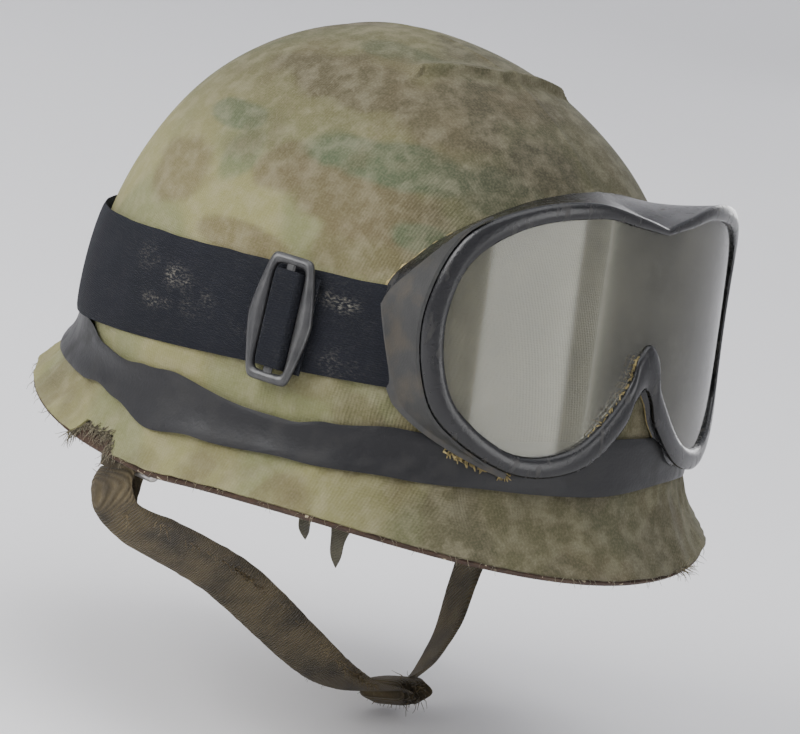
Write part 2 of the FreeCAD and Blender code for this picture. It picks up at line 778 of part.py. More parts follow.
def flat_frame(angle, height, base, thickness, outline, window):
    """Flat plate with a window, parallel to the wall; outlines are (across, up) points."""
    place, normal, across, upright = wall_frame(angle, height)

    def slab(corners, start, depth):
        points = [place + across * u + upright * v + normal * start for u, v in corners]
        return Part.Face(Part.makePolygon(points + points[:1])).extrude(normal * depth)
    return slab(outline, base, thickness).cut(slab(window, base - 1, thickness + 2))


def a_washers():
    """Triangular plates under the rivets, with a slot for the end of a crown strap."""
    outline = [(-12, 14), (12, 14), (5, -6), (-5, -6)]
    slot = [(-9.5, 11.5), (9.5, 11.5), (8, 7.5), (-8, 7.5)]
    washers = []
    for angle in RIVET_ANGLES:
        plate = flat_frame(angle, SUSPENSION_RIVET_Z, WASHER_OFFSET, WASHER_THICKNESS, outline, slot)
        washers.append(plate.cut(wall_hole(angle, SUSPENSION_RIVET_Z)))
    return Part.makeCompound(washers)


def crown_strap(angle, lift):
    """Webbing arch over the wearer's head, flat for a short way where the straps cross."""
    phi = math.radians(angle)
    foot_height, foot_offset = CROWN_STRAP_FOOT
    near = surface_point(phi, foot_height, foot_offset)
    far = surface_point(phi + math.pi, foot_height, foot_offset)
    along = far - near
    span = along.Length
    along.normalize()
    across = Vec(along.y, -along.x, 0)
    middle = (near + far) / 2
    top = CROWN_STRAP_TOP + lift
    edges = []
    for skin in (0, CROWN_STRAP_THICKNESS):
        flat_z = top + skin - middle.z

        def arch_point(share, side):
            reach = CROWN_STRAP_FLAT + (span / 2 - CROWN_STRAP_FLAT) * share
            rise = flat_z * (1 - share ** 2) + skin * share ** 2
            return middle + along * side * reach + Vec(0, 0, rise) - across * CROWN_STRAP_WIDTH / 2
        arms = []
        for side in (-1, 1):
            curve = Part.BSplineCurve()
            curve.interpolate(Points=[arch_point(k / 6, side) for k in range(7)])
            arms.append(curve.toShape())
        edges.append([arms[0], Part.makeLine(arch_point(0, -1), arch_point(0, 1)), arms[1]])
    under, over = edges
    ends = [Part.makeLine(under[k].Vertexes[-1].Point, over[k].Vertexes[-1].Point) for k in (0, 2)]
    outline = Part.Wire(Part.__sortEdges__(under + over + ends))
    return Part.Face(outline).extrude(across * CROWN_STRAP_WIDTH)


def oval_point(phi, grow, height):
    """Point of the sweatband's outer face, or of a face some distance outside it."""
    length, width = HEADBAND
    return Vec(-(width + grow) * math.sin(phi), HEADBAND_Y - (length + grow) * math.cos(phi), height)


def headband():
    """Leather sweatband round the wearer's head."""
    low, high = HEADBAND_Z

    def section(phi):
        corners = [(0, high), (0, low), (-HEADBAND_THICKNESS, low), (-HEADBAND_THICKNESS, high)]
        return [oval_point(phi, grow, height) for grow, height in corners]
    return hoop(section)


def oval_piece(corners, middle, half):
    """Short piece of a hoop round the sweatband, from (distance outside, height) corners."""
    start, end = middle - half, middle + half
    curves = [arc_curve(lambda phi, c=c: oval_point(phi, *c), start, end) for c in corners]
    faces = [Part.makeRuledSurface(curves[k - 1], curves[k]) for k in range(len(curves))]
    for angle in (start, end):
        points = [oval_point(angle, *corner) for corner in corners]
        faces.append(Part.Face(Part.makePolygon(points + points[:1])))
    return closed_solid(faces)


def headband_clips():
    """Spring clips hooked over the sweatband's top edge."""
    top = HEADBAND_Z[1] + 0.3
    foot = top - 11
    corners = [(1.3, top + 1), (1.3, foot), (0.3, foot), (0.3, top),
               (-HEADBAND_THICKNESS - 1.2, top), (-HEADBAND_THICKNESS - 1.2, top + 1)]
    half = 0.09
    clips = []
    for angle in CLIP_ANGLES:
        clips.append(oval_piece(corners, math.radians(angle), half))
    return Part.makeCompound(clips)


def headband_buckle():
    """Flat frame behind the head that takes up the sweatband's free end."""
    low = HEADBAND_Z[0] + 1.5
    high = low + 15
    border = 3.0
    outer = oval_piece([(1.4, high), (1.4, low), (0.3, low), (0.3, high)], math.pi, 0.16)
    low += border
    high -= border
    return outer.cut(oval_piece([(3, high), (3, low), (-1, low), (-1, high)], math.pi, 0.11))


def nape_strap():
    """Webbing across the back of the liner, sagging in between its studs."""
    outside, inside = NAPE_STRAP

    def section(phi):
        share = (math.degrees(phi) - NAPE_MIDDLE) / NAPE_HALF_ANGLE
        sag = NAPE_SAG * math.cos(share * math.pi / 2) ** 2
        return band_section(phi, *NAPE_Z, outside - sag, inside - sag)
    start = math.radians(NAPE_MIDDLE - NAPE_HALF_ANGLE)
    strap = ribbon(section, start, math.radians(NAPE_MIDDLE + NAPE_HALF_ANGLE))
    for angle in NAPE_ANGLES:
        strap = strap.cut(wall_hole(angle, NAPE_STUD_Z))
    return strap


def liner_eyelet():
    """Brass ring in the front of the liner."""
    barrel = wall_pin(0, EYELET_Z, EYELET_BARREL, -9.8, -5.4)
    front = wall_pin(0, EYELET_Z, EYELET_FLANGE, -6.1, -5.4)
    back = wall_pin(0, EYELET_Z, EYELET_FLANGE, -9.8, -9.1)
    return barrel.fuse([front, back]).cut(wall_hole(0, EYELET_Z, EYELET_BORE))


def crown_straps():
    return {
        "crown_strap_fore": crown_strap(RIVET_ANGLES[0], 0),
        "crown_strap_cross": crown_strap(RIVET_ANGLES[1], CROWN_STRAP_STEP),
        "crown_strap_aft": crown_strap(RIVET_ANGLES[2], 2 * CROWN_STRAP_STEP),
    }


def build():
    nodes = {
        "steel_shell": bowl(STEEL, STEEL_END),
        "rim_strip": rim_strip(),
        "camo_cover": bowl(COVER, COVER_END),
        "cover_tuck_flaps": cover_tuck_flaps(),
        "loose_cover_flaps": loose_cover_flaps(),
        "rubber_band": rubber_band(),
        "goggle_frame": goggle_frame(),
        "goggle_lens": lens(),
        "goggle_foam": goggle_foam(),
        "right_strap_wing": strap_wing(-1),
        "left_strap_wing": strap_wing(1),
        "elastic_strap": elastic_strap(),
        "slide_buckle": slide_buckle(),
        "strap_pleat": strap_pleat(),
        "right_bale_lug": bale_lug(-1),
        "left_bale_lug": bale_lug(1),
        "right_bale": bale(-1),
        "left_bale": bale(1),
        "right_strap_end": strap_end(-1),
        "left_strap_end": strap_end(1),
        "right_chin_strap": right_chin_strap(),
        "left_chin_strap": left_chin_strap(),
        "strap_knot": strap_knot(),
        "liner_shell": liner_shell(),
        "suspension_band": suspension_band(),
        "suspension_rivets": suspension_rivets(),
        "a_washers": a_washers(),
        "headband": headband(),
        "headband_clips": headband_clips(),
        "headband_buckle": headband_buckle(),
        "nape_studs": nape_studs(),
        "nape_strap": nape_strap(),
        "liner_eyelet": liner_eyelet(),
    }
    nodes.update(crown_straps())
    return nodes


def main():
    os.makedirs("parts", exist_ok=True)
    for name, shape in build().items():
        shape.exportStep("parts/" + name + ".step")


main()
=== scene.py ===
import math
import random

import bmesh
import bpy
from mathutils import Matrix, Vector, noise


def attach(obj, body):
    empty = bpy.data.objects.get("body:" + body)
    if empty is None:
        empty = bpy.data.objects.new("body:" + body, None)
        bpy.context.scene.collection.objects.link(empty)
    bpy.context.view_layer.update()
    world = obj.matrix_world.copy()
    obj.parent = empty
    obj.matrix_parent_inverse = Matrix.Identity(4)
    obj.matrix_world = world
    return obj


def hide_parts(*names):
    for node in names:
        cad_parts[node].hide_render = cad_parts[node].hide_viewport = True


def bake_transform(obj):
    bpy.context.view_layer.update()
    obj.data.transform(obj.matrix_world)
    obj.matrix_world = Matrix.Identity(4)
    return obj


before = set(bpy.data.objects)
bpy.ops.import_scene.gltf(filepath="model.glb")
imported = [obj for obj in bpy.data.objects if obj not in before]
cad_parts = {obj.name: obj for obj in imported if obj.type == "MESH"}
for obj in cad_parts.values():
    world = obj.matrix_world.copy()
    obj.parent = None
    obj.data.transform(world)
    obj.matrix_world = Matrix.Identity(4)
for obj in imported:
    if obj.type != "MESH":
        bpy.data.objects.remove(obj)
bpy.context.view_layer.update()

# Looks of a cloth-covered steel combat helmet with dust goggles.
# The shape functions below work in millimetres; build_mesh turns them into metres.

MM = 0.001
random.seed(7)

# Outer surface of the cloth cover
CROWN_HEIGHT = 172.1
NECK_HEIGHT = 37.5
CROWN_SHIFT = 9.1
DOME = (128.9, 122.8, 112.0)
DOME_POWER = 2.03
RIM = (147.0, 140.6, 122.1)
RIM_POWER = 2.08
RIM_SIDE_RISE = 15.0
RIM_REAR_RISE = 11.8
FRONT_ROUNDNESS = 2.07
SIDE_ROUNDNESS = 2.01
REAR_ROUNDNESS = 2.17

# Goggles: the front is part of a leaning cylinder, and the back edge follows the dome
GOGGLE_RADIUS = 131.0
GOGGLE_AXIS_Y = 2.6
GOGGLE_PIVOT_Z = 85.6
GOGGLE_LEAN = math.radians(6.2)

# Half outlines of the goggles as (x, z), from the middle of the brow round one eye to the nose
OPENING = [(0, 127.5), (16, 130), (34, 132.2), (60, 126.6), (77.7, 112.3), (84, 91), (82.5, 68),
           (74.6, 53), (55, 42), (31, 47.4), (10.9, 67.5), (6, 80.6), (0, 86)]
CREST = [(0, 130.3), (14, 134), (37, 138), (62, 133), (81, 119), (89.4, 92), (88.3, 66),
         (80, 47.5), (56, 34.6), (29.8, 38.2), (11, 53), (5.4, 63.8), (0, 69)]
REAR_EDGE = [(0, 133.5), (18, 132), (38, 127.3), (59, 117.5), (75, 105), (86.5, 88), (87, 60),
             (79, 43.5), (57, 34), (29, 37.4), (10.7, 52), (5.2, 62.5), (0, 67.4)]
OUTLINE_END = 2 * len(OPENING) - 2

# Chin strap
BALE_X = 109.5
BALE_Y = 19.5
BAR_Z = -6.0
WEB_LEAN = math.radians(16.4)
WEB_WIDTH = 23.6
WEB_THICKNESS = 1.8

# Colours, linear
KHAKI = (0.207, 0.195, 0.080)
BROWN = (0.112, 0.089, 0.040)
GREEN = (0.076, 0.112, 0.054)
# DARK serves the dark print blotches and also the painted shade over the cover's front and crown.
DARK = (0.032, 0.028, 0.013)
DUST = (0.36, 0.325, 0.225)


# Shape of the helmet wall

def plan_radius(phi, size, power):
    """Distance from the middle to a rounded plan outline; phi runs from the front to the right."""
    front, rear, side = size
    fore = abs(math.cos(phi)) / (front if math.cos(phi) > 0 else rear)
    across = abs(math.sin(phi)) / side
    return (fore ** power + across ** power) ** (-1 / power)


def rim_height(phi):
    fore = max(math.cos(phi), 0)
    aft = max(-math.cos(phi), 0)
    return RIM_SIDE_RISE * math.sin(phi) ** 2 * fore + RIM_REAR_RISE * aft ** 3


def roundness(phi):
    fore = math.cos(phi) ** 2
    end = FRONT_ROUNDNESS if math.cos(phi) > 0 else REAR_ROUNDNESS
    return end * fore + SIDE_ROUNDNESS * (1 - fore)


def meridian(phi, level):
    """Radius and height of the cover; level is 0 at the crown, 1 at the neck and 2 at the rim."""
    neck = plan_radius(phi, DOME, DOME_POWER)
    if level <= 1:
        power = 2 / roundness(phi)
        angle = level * math.pi / 2
        rise = max(math.cos(angle), 0) ** power
        return neck * math.sin(angle) ** power, NECK_HEIGHT + (CROWN_HEIGHT - NECK_HEIGHT) * rise
    rim = plan_radius(phi, RIM, RIM_POWER)
    fall = level - 1
    return neck + fall ** 2 * (rim - neck), NECK_HEIGHT + fall * (rim_height(phi) - NECK_HEIGHT)


def level_at(phi, height):
    """The level at which the cover's outer surface has the given height."""
    if height <= NECK_HEIGHT:
        return 1 + (NECK_HEIGHT - height) / (NECK_HEIGHT - rim_height(phi))
    rise = (height - NECK_HEIGHT) / (CROWN_HEIGHT - NECK_HEIGHT)
    return math.acos(rise ** (roundness(phi) / 2)) * 2 / math.pi


def wall_point(phi, level, offset=0.0):
    """A point at some distance outside (positive) or inside the cover's outer surface."""
    step = 0.001
    above_r, above_z = meridian(phi, max(level - step, 0))
    below_r, below_z = meridian(phi, level + step)
    length = math.hypot(below_r - above_r, below_z - above_z)
    radius, height = meridian(phi, level)
    lean = CROWN_SHIFT * max(height - NECK_HEIGHT, 0) / (CROWN_HEIGHT - NECK_HEIGHT)
    radius += offset * (above_z - below_z) / length
    height += offset * (below_r - above_r) / length
    return Vector((-radius * math.sin(phi), lean - radius * math.cos(phi), height))


def surface_point(phi, height, offset=0.0):
    return wall_point(phi, level_at(phi, height), offset)


def wall_frame(phi, height):
    """Point of the cover's surface with its outward normal, level tangent and upright tangent."""
    place = surface_point(phi, height)
    across = (surface_point(phi + 0.01, height) - surface_point(phi - 0.01, height)).normalized()
    upright = (surface_point(phi, height + 1) - surface_point(phi, height - 1)).normalized()
    return place, upright.cross(across).normalized(), across, upright


# Small tools

def ease(value, start, end):
    share = min(max((value - start) / (end - start), 0), 1)
    return share * share * (3 - 2 * share)


def mix(first, second, share):
    return tuple(a + (b - a) * share for a, b in zip(first, second))


def spread(start, end, count):
    return [start + (end - start) * k / (count - 1) for k in range(count)]


def all_round(count):
    return [2 * math.pi * k / count for k in range(count)]


def ring_noise(phi, scale, height=0.0):
    """Noise that closes on itself round the helmet."""
    return noise.noise(Vector((scale * math.cos(phi), scale * math.sin(phi), height)))


def along(table, angle):
    """Smooth value from a table of (angle, value) rows with rising angles."""
    for (low, first), (high, second) in zip(table, table[1:]):
        if angle <= high:
            return first + (second - first) * ease(angle, low, high)
    return table[-1][1]


def turned(phi):
    """Angle in degrees from the front, from -180 to 180, positive on the wearer's right."""
    return math.degrees(math.atan2(math.sin(phi), math.cos(phi)))


def curve_point(points, t):
    """Point of a smooth curve that passes through points[k] at t = k."""
    k = min(int(t), len(points) - 2)
    f = t - k
    start, end = points[k], points[k + 1]
    before = points[max(k - 1, 0)]
    after = points[min(k + 2, len(points) - 1)]
    leave = (end - before) / 2
    arrive = (after - start) / 2
    f2 = f * f
    f3 = f2 * f
    return (start * (2 * f3 - 3 * f2 + 1) + leave * (f3 - 2 * f2 + f)
            + end * (3 * f2 - 2 * f3) + arrive * (f3 - f2))


def rounded(share, power=6):
    """Thickness profile across a strap: full in the middle and thin at both edges."""
    return max(1 - abs(share) ** power, 0) ** 0.5 * 0.85 + 0.15


def build_mesh(name, points, faces, body=None, finish=None, stands_for=()):
    """Piece from points in millimetres; it rides on a body and takes the place of CAD nodes."""
    mesh = bpy.data.meshes.new(name)
    mesh.from_pydata([tuple(p * MM) for p in points], [], faces)
    shaper = bmesh.new()
    shaper.from_mesh(mesh)
    bmesh.ops.recalc_face_normals(shaper, faces=shaper.faces)
    shaper.to_mesh(mesh)
    shaper.free()
    for polygon in mesh.polygons:
        polygon.use_smooth = True
    mesh.set_sharp_from_angle(angle=math.radians(55))
    piece = bpy.data.objects.new(name, mesh)
    bpy.context.scene.collection.objects.link(piece)
    if finish:
        mesh.materials.append(finish)
    if body:
        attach(piece, body)
    if stands_for:
        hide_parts(*stands_for)
    return piece


def skin(rings, closed=False):
    """Points and faces that join a row of loops; an open row gets its ends filled."""
    size = len(rings[0])
    points = [p for ring in rings for p in ring]
    faces = []
    last = len(rings) if closed else len(rings) - 1
    for row in range(last):
        here = row * size
        there = (row + 1) % len(rings) * size
        for k in range(size):
            n = (k + 1) % size
            faces.append((here + k, here + n, there + n, there + k))
    if not closed:
        faces.append(tuple(range(size)))
        faces.append(tuple(range(len(points) - size, len(points))))
    return points, faces


def joined(skins):
    """Several skins as one list of points and faces."""
    points, faces = [], []
    for more_points, more_faces in skins:
        base = len(points)
        points.extend(more_points)
        faces.extend(tuple(base + k for k in face) for face in more_faces)
    return points, faces


def strap_loop(place, across, out, half, thickness, count=11):
    """Loop round a flat strap: over its outer face and back along its inner face."""
    shares = spread(-1, 1, count)
    outer = [place + across * half * s + out * thickness / 2 * rounded(s) for s in shares]
    inner = [place + across * half * s - out * thickness / 2 * rounded(s) for s in reversed(shares)]
    return outer + inner


def dome_loop(phi, top, bottom, middle, thickness, count=11):
    """Loop round a strap that lies on the dome between two heights."""
    heights = [(bottom + (top - bottom) * (s + 1) / 2, s) for s in spread(-1, 1, count)]
    outer = [surface_point(phi, z, middle(s) + thickness / 2 * rounded(s)) for z, s in heights]
    inner = [surface_point(phi, z, middle(s) - thickness / 2 * rounded(s)) for z, s in reversed(heights)]
    return outer + inner


def thread(start, heading, length, radius, droop=0.4, curl=0.5, steps=6):
    """Loose thread as a thin tube that wanders from its start."""
    rings = []
    place = start.copy()
    heading = heading.normalized()
    for k in range(steps + 1):
        side = heading.orthogonal().normalized()
        other = heading.cross(side)
        size = radius * (1 - 0.7 * k / steps)
        rings.append([place + (side * math.cos(a) + other * math.sin(a)) * size for a in (0, 2.1, 4.2)])
        wander = Vector((random.gauss(0, curl), random.gauss(0, curl), random.gauss(0, curl) - droop))
        heading = (heading + wander * 0.5).normalized()
        place = place + heading * length / steps
    return skin(rings)


# Materials

class Finish:
    """A procedural material, with short ways to add its nodes."""

    def __init__(self, name, roughness=0.85, metallic=0.0, sheen=0.0):
        self.material = bpy.data.materials.new(name)
        self.material.use_nodes = True
        self.tree = self.material.node_tree
        self.shader = self.tree.nodes["Principled BSDF"]
        self.shader.inputs["Roughness"].default_value = roughness
        self.shader.inputs["Metallic"].default_value = metallic
        self.shader.inputs["Sheen Weight"].default_value = sheen
        self.place = self.add("TexCoord").outputs["Object"]

    def add(self, kind, **inputs):
        node = self.tree.nodes.new("ShaderNode" + kind)
        for key, value in inputs.items():
            self.feed(node.inputs[key.replace("_", " ")], value)
        return node

    def feed(self, socket, value):
        if isinstance(value, bpy.types.NodeSocket):
            self.tree.links.new(value, socket)
        else:
            socket.default_value = value

    def speckle(self, size, detail=4.0, stretch=(1, 1, 1)):
        """Noise whose features have a size in millimetres."""
        place = self.add("Mapping", Vector=self.place, Scale=stretch).outputs[0]
        return self.add("TexNoise", Vector=place, Scale=1 / (size * MM), Detail=detail).outputs[0]

    def ribs(self, pitch, axis, wander=0.5):
        """Parallel ridges with a pitch in millimetres, stacked along an axis."""
        node = self.add("TexWave", Vector=self.place, Scale=math.pi / (10 * pitch * MM), Distortion=wander)
        node.inputs["Detail Scale"].default_value = 0.4
        node.bands_direction = axis
        return node.outputs["Fac"]

    def window(self, value, low, high):
        """0 below low, 1 above high."""
        return self.add("MapRange", Value=value, From_Min=low, From_Max=high).outputs[0]

    def patches(self, low, high, *grain):
        """Speckle cut to 0 below low and 1 above high."""
        return self.window(self.speckle(*grain), low, high)

    def sum(self, first, second, weight=1.0):
        node = self.add("Math")
        node.operation = "MULTIPLY_ADD"
        self.feed(node.inputs[0], second)
        self.feed(node.inputs[1], weight)
        self.feed(node.inputs[2], first)
        return node.outputs[0]

    def times(self, first, second):
        node = self.add("Math")
        node.operation = "MULTIPLY"
        self.feed(node.inputs[0], first)
        self.feed(node.inputs[1], second)
        return node.outputs[0]

    def blend(self, share, first, second):
        node = self.add("Mix")
        node.data_type = "RGBA"
        self.feed(node.inputs["Factor"], share)
        for socket, value in ((node.inputs[6], first), (node.inputs[7], second)):
            self.feed(socket, value if isinstance(value, bpy.types.NodeSocket) else (*value, 1))
        return node.outputs[2]

    def bump(self, height, depth):
        """Relief with a depth in millimetres, on top of any relief added before."""
        node = self.add("Bump", Height=height, Distance=depth * MM)
        before = self.shader.inputs["Normal"]
        if before.links:
            self.tree.links.new(before.links[0].from_socket, node.inputs["Normal"])
        self.tree.links.new(node.outputs[0], before)

    def gloss(self, share, shiny, dull):
        """Roughness between two values."""
        node = self.add("MapRange", Value=share, To_Min=shiny, To_Max=dull)
        self.feed(self.shader.inputs["Roughness"], node.outputs[0])

    def colour(self, value):
        self.feed(self.shader.inputs["Base Color"], value)

    def attribute(self, name):
        node = self.add("Attribute")
        node.attribute_name = name
        return node.outputs


def cover_cloth():
    """Printed cotton twill: its ribs run upright on the sides and on the front and back."""
    finish = Finish("cover_cloth", roughness=0.95)
    tint = finish.attribute("tint")["Color"]
    normal = finish.add("SeparateXYZ", Vector=finish.add("TexCoord").outputs["Normal"])
    sideways = finish.add("Math")
    sideways.operation = "ABSOLUTE"
    finish.feed(sideways.inputs[0], normal.outputs["X"])
    facing = finish.window(sideways.outputs[0], 0.45, 0.60)
    front_ribs = finish.ribs(1.1, "X", 1.0)
    side_ribs = finish.ribs(1.1, "Y", 1.0)
    lines = finish.add("Mix", Factor=facing)
    finish.feed(lines.inputs[2], front_ribs)
    finish.feed(lines.inputs[3], side_ribs)
    weave = finish.sum(finish.times(lines.outputs[0], 0.7), finish.ribs(0.85, "Z", 1.2), 0.3)
    fade = finish.patches(0.44, 0.66, 7, 6)
    worn = finish.blend(finish.times(fade, 0.20), tint, DUST)
    stain = finish.patches(0.52, 0.68, 26, 5)
    stained = finish.blend(finish.times(stain, 0.50), worn, (0.080, 0.062, 0.028))
    shaded = finish.blend(finish.times(weave, 0.11), stained, (0.045, 0.036, 0.020))
    fibre = finish.patches(0.40, 0.75, 0.9, 2)
    finish.colour(finish.blend(finish.times(fibre, 0.14), shaded, DUST))
    finish.bump(weave, 0.13)
    finish.bump(finish.speckle(2.5, 5), 0.30)
    return finish.material


def elastic_weave():
    finish = Finish("elastic_weave", roughness=0.85)
    cords = finish.ribs(0.8, "Z", 0.3)
    base = finish.blend(finish.speckle(30, 4), (0.006, 0.007, 0.010), (0.011, 0.012, 0.017))
    ribbed = finish.blend(finish.times(cords, 0.25), base, (0.003, 0.003, 0.005))
    wear = finish.attribute("wear")["Fac"]
    grain = finish.patches(0.46, 0.82, 1.3, 8, (1, 1, 1.8))
    cloud = finish.patches(0.35, 0.62, 7, 3)
    dusty = finish.times(finish.times(wear, cloud), grain)
    finish.colour(finish.blend(finish.times(dusty, 0.6), ribbed, (0.42, 0.39, 0.31)))
    finish.feed(finish.shader.inputs["Specular IOR Level"], 0.2)
    finish.bump(cords, 0.10)
    finish.bump(finish.speckle(0.8, 3), 0.12)
    return finish.material


def black_rubber():
    finish = Finish("black_rubber")
    dust = finish.patches(0.48, 0.78, 9, 7)
    finish.colour(finish.blend(dust, (0.007, 0.007, 0.008), (0.020, 0.0195, 0.019)))
    finish.feed(finish.shader.inputs["Specular IOR Level"], 0.35)
    finish.gloss(dust, 0.45, 0.70)
    finish.bump(finish.speckle(14, 3, (1, 1, 2)), 0.3)
    finish.bump(finish.speckle(1.2, 4), 0.12)
    return finish.material


def frame_plastic():
    finish = Finish("frame_plastic")
    scuff = finish.patches(0.56, 0.80, 3.5, 8, (1, 1, 0.4))
    finish.colour(finish.blend(finish.times(scuff, 0.5), (0.005, 0.005, 0.006), (0.060, 0.055, 0.045)))
    finish.gloss(scuff, 0.24, 0.6)
    finish.bump(finish.speckle(1.0, 5), 0.10)
    return finish.material


def plate_plastic():
    finish = Finish("plate_plastic", roughness=0.55)
    stain = finish.patches(0.50, 0.66, 12, 6)
    base = finish.blend(finish.speckle(5, 6), (0.016, 0.016, 0.0155), (0.034, 0.034, 0.032))
    finish.colour(finish.blend(finish.times(stain, 0.4), base, (0.075, 0.058, 0.034)))
    finish.bump(finish.speckle(0.9, 5), 0.15)
    return finish.material


def lens_plastic():
    """Clear plastic with a film of scratches and dried dust."""
    finish = Finish("lens_plastic", roughness=0.06)
    finish.shader.inputs["IOR"].default_value = 1.5
    finish.colour((0.50, 0.48, 0.36, 1))
    dust = finish.patches(0.55, 0.8, 2.5, 8)
    haze = finish.sum(finish.times(finish.speckle(28, 5), 0.22), dust, 0.10)
    clear = finish.add("BsdfTransparent", Color=(0.84, 0.84, 0.74, 1))
    gloss = finish.add("BsdfGlossy", Roughness=0.11)
    fresnel = finish.add("Fresnel", IOR=1.55)
    film = finish.add("MixShader")
    finish.feed(film.inputs[0], haze)
    finish.feed(film.inputs[1], clear.outputs[0])
    finish.feed(film.inputs[2], finish.shader.outputs[0])
    surface = finish.add("MixShader")
    finish.feed(surface.inputs[0], fresnel.outputs[0])
    finish.feed(surface.inputs[1], film.outputs[0])
    finish.feed(surface.inputs[2], gloss.outputs[0])
    finish.feed(finish.tree.nodes["Material Output"].inputs[0], surface.outputs[0])
    return finish.material


def seal_foam():
    finish = Finish("seal_foam", roughness=0.95)
    crumbs = finish.speckle(1.5, 6)
    finish.colour(finish.blend(crumbs, (0.10, 0.075, 0.03), (0.62, 0.50, 0.22)))
    finish.bump(crumbs, 1.0)
    return finish.material


def worn_enamel(name, enamel, bare, share=0.55, roughness=0.4, size=4.0):
    """Enamel that has rubbed through to bare metal in places."""
    finish = Finish(name, roughness=roughness)
    rubbed = finish.patches(share - 0.12, share + 0.12, size, 7)
    finish.colour(finish.blend(rubbed, enamel, bare))
    finish.feed(finish.shader.inputs["Metallic"], finish.times(rubbed, 0.5))
    finish.bump(finish.speckle(size / 3, 5), 0.12)
    return finish.material


def rusted_steel(name, paint, share):
    finish = Finish(name, roughness=0.85)
    rust = finish.blend(finish.speckle(2.2, 7), (0.016, 0.010, 0.007), (0.062, 0.028, 0.012))
    patches = finish.patches(share - 0.05, share + 0.05, 9, 7)
    flecks = finish.patches(0.66, 0.69, 3.0, 4)
    finish.colour(finish.blend(flecks, finish.blend(patches, paint, rust), (0.42, 0.36, 0.24)))
    finish.bump(finish.speckle(1.1, 6), 0.35)
    return finish.material


def cotton_webbing(name, light, dark, axis, pitch=1.3):
    finish = Finish(name, roughness=0.95, sheen=0.1)
    cords = finish.ribs(pitch, axis, 0.8)
    dirt = finish.patches(0.40, 0.68, 16, 6)
    base = finish.blend(dirt, light, dark)
    finish.colour(finish.blend(finish.times(cords, 0.4), base, mix(dark, (0, 0, 0), 0.5)))
    finish.bump(cords, 0.45)
    finish.bump(finish.speckle(1.1, 5), 0.45)
    return finish.material


def plain_leather():
    finish = Finish("sweat_leather", roughness=0.55)
    grain = finish.speckle(1.6, 6)
    stain = finish.patches(0.4, 0.65, 22, 5)
    finish.colour(finish.blend(stain, (0.20, 0.10, 0.045), (0.07, 0.035, 0.018)))
    finish.bump(grain, 0.3)
    return finish.material


def laminate():
    finish = Finish("liner_laminate", roughness=0.6)
    finish.colour(finish.blend(finish.speckle(9, 7, (1, 1, 0.3)), (0.075, 0.085, 0.040), (0.15, 0.155, 0.08)))
    finish.bump(finish.ribs(2.2, "Z", 4.0), 0.15)
    finish.bump(finish.speckle(2.0, 5), 0.2)
    return finish.material


def dull_brass():
    finish = Finish("dull_brass", roughness=0.42, metallic=1.0)
    finish.colour(finish.blend(finish.speckle(3, 6), (0.16, 0.11, 0.045), (0.45, 0.33, 0.14)))
    finish.bump(finish.speckle(1.0, 4), 0.08)
    return finish.material


def bale_steel():
    finish = Finish("bale_steel", roughness=0.35, metallic=1.0)
    finish.colour(finish.blend(finish.speckle(2.5, 6), (0.22, 0.20, 0.18), (0.62, 0.61, 0.59)))
    finish.bump(finish.speckle(0.8, 4), 0.08)
    return finish.material


def studio_paper():
    finish = Finish("studio_paper", roughness=0.95)
    finish.colour(finish.blend(finish.speckle(600, 2), (0.86, 0.85, 0.852), (0.90, 0.888, 0.89)))
    return finish.material


# Cloth cover

FOLD = [Vector((-34, -20, 0)), Vector((-8, -35, 0)), Vector((26, -37.5, 0))]
TORN = (101.0, 111.0)
# The cloth can sink this far before it would meet the steel
DEEPEST_DIP = -0.3

# Blotches of the print as (angle, height, half angle, half height, colour, strength)
BLOTCHES = [
    (62, 116, 22, 14, BROWN, 0.9), (82, 120, 9, 11, BROWN, 0.8), (58, 102, 12, 12, BROWN, 0.7),
    (85, 92, 13, 7, BROWN, 0.75), (113, 106, 12, 15, BROWN, 0.7), (82, 154, 40, 9, BROWN, 0.9),
    (42, 150, 20, 10, BROWN, 0.85), (14, 137, 11, 15, DARK, 0.7), (22, 158, 30, 6, BROWN, 0.8),
    (108, 132, 12, 5, GREEN, 0.8), (52, 132, 26, 8, GREEN, 0.9), (27, 128, 12, 9, GREEN, 0.8),
    (96, 120, 6, 11, GREEN, 0.5), (45, 110, 7, 5, GREEN, 0.8), (70, 166, 30, 2.5, GREEN, 0.6),
    (-3, 112, 8, 14, DARK, 0.5),
]


def fold_lift(place):
    """Height of the pucker near the crown: soft behind, and sharp towards the front."""
    best = None
    for first, second in zip(FOLD, FOLD[1:]):
        run = second - first
        flat = Vector((place.x, place.y, 0)) - first
        share = min(max(flat.dot(run) / run.length_squared, 0), 1)
        gap = flat - run * share
        if best is None or gap.length < best[0]:
            best = (gap.length, gap.y)
    distance, side = best
    reach = 5.0 if side > 0 else 1.5
    return 3.2 * math.exp(-(distance / reach) ** 2)


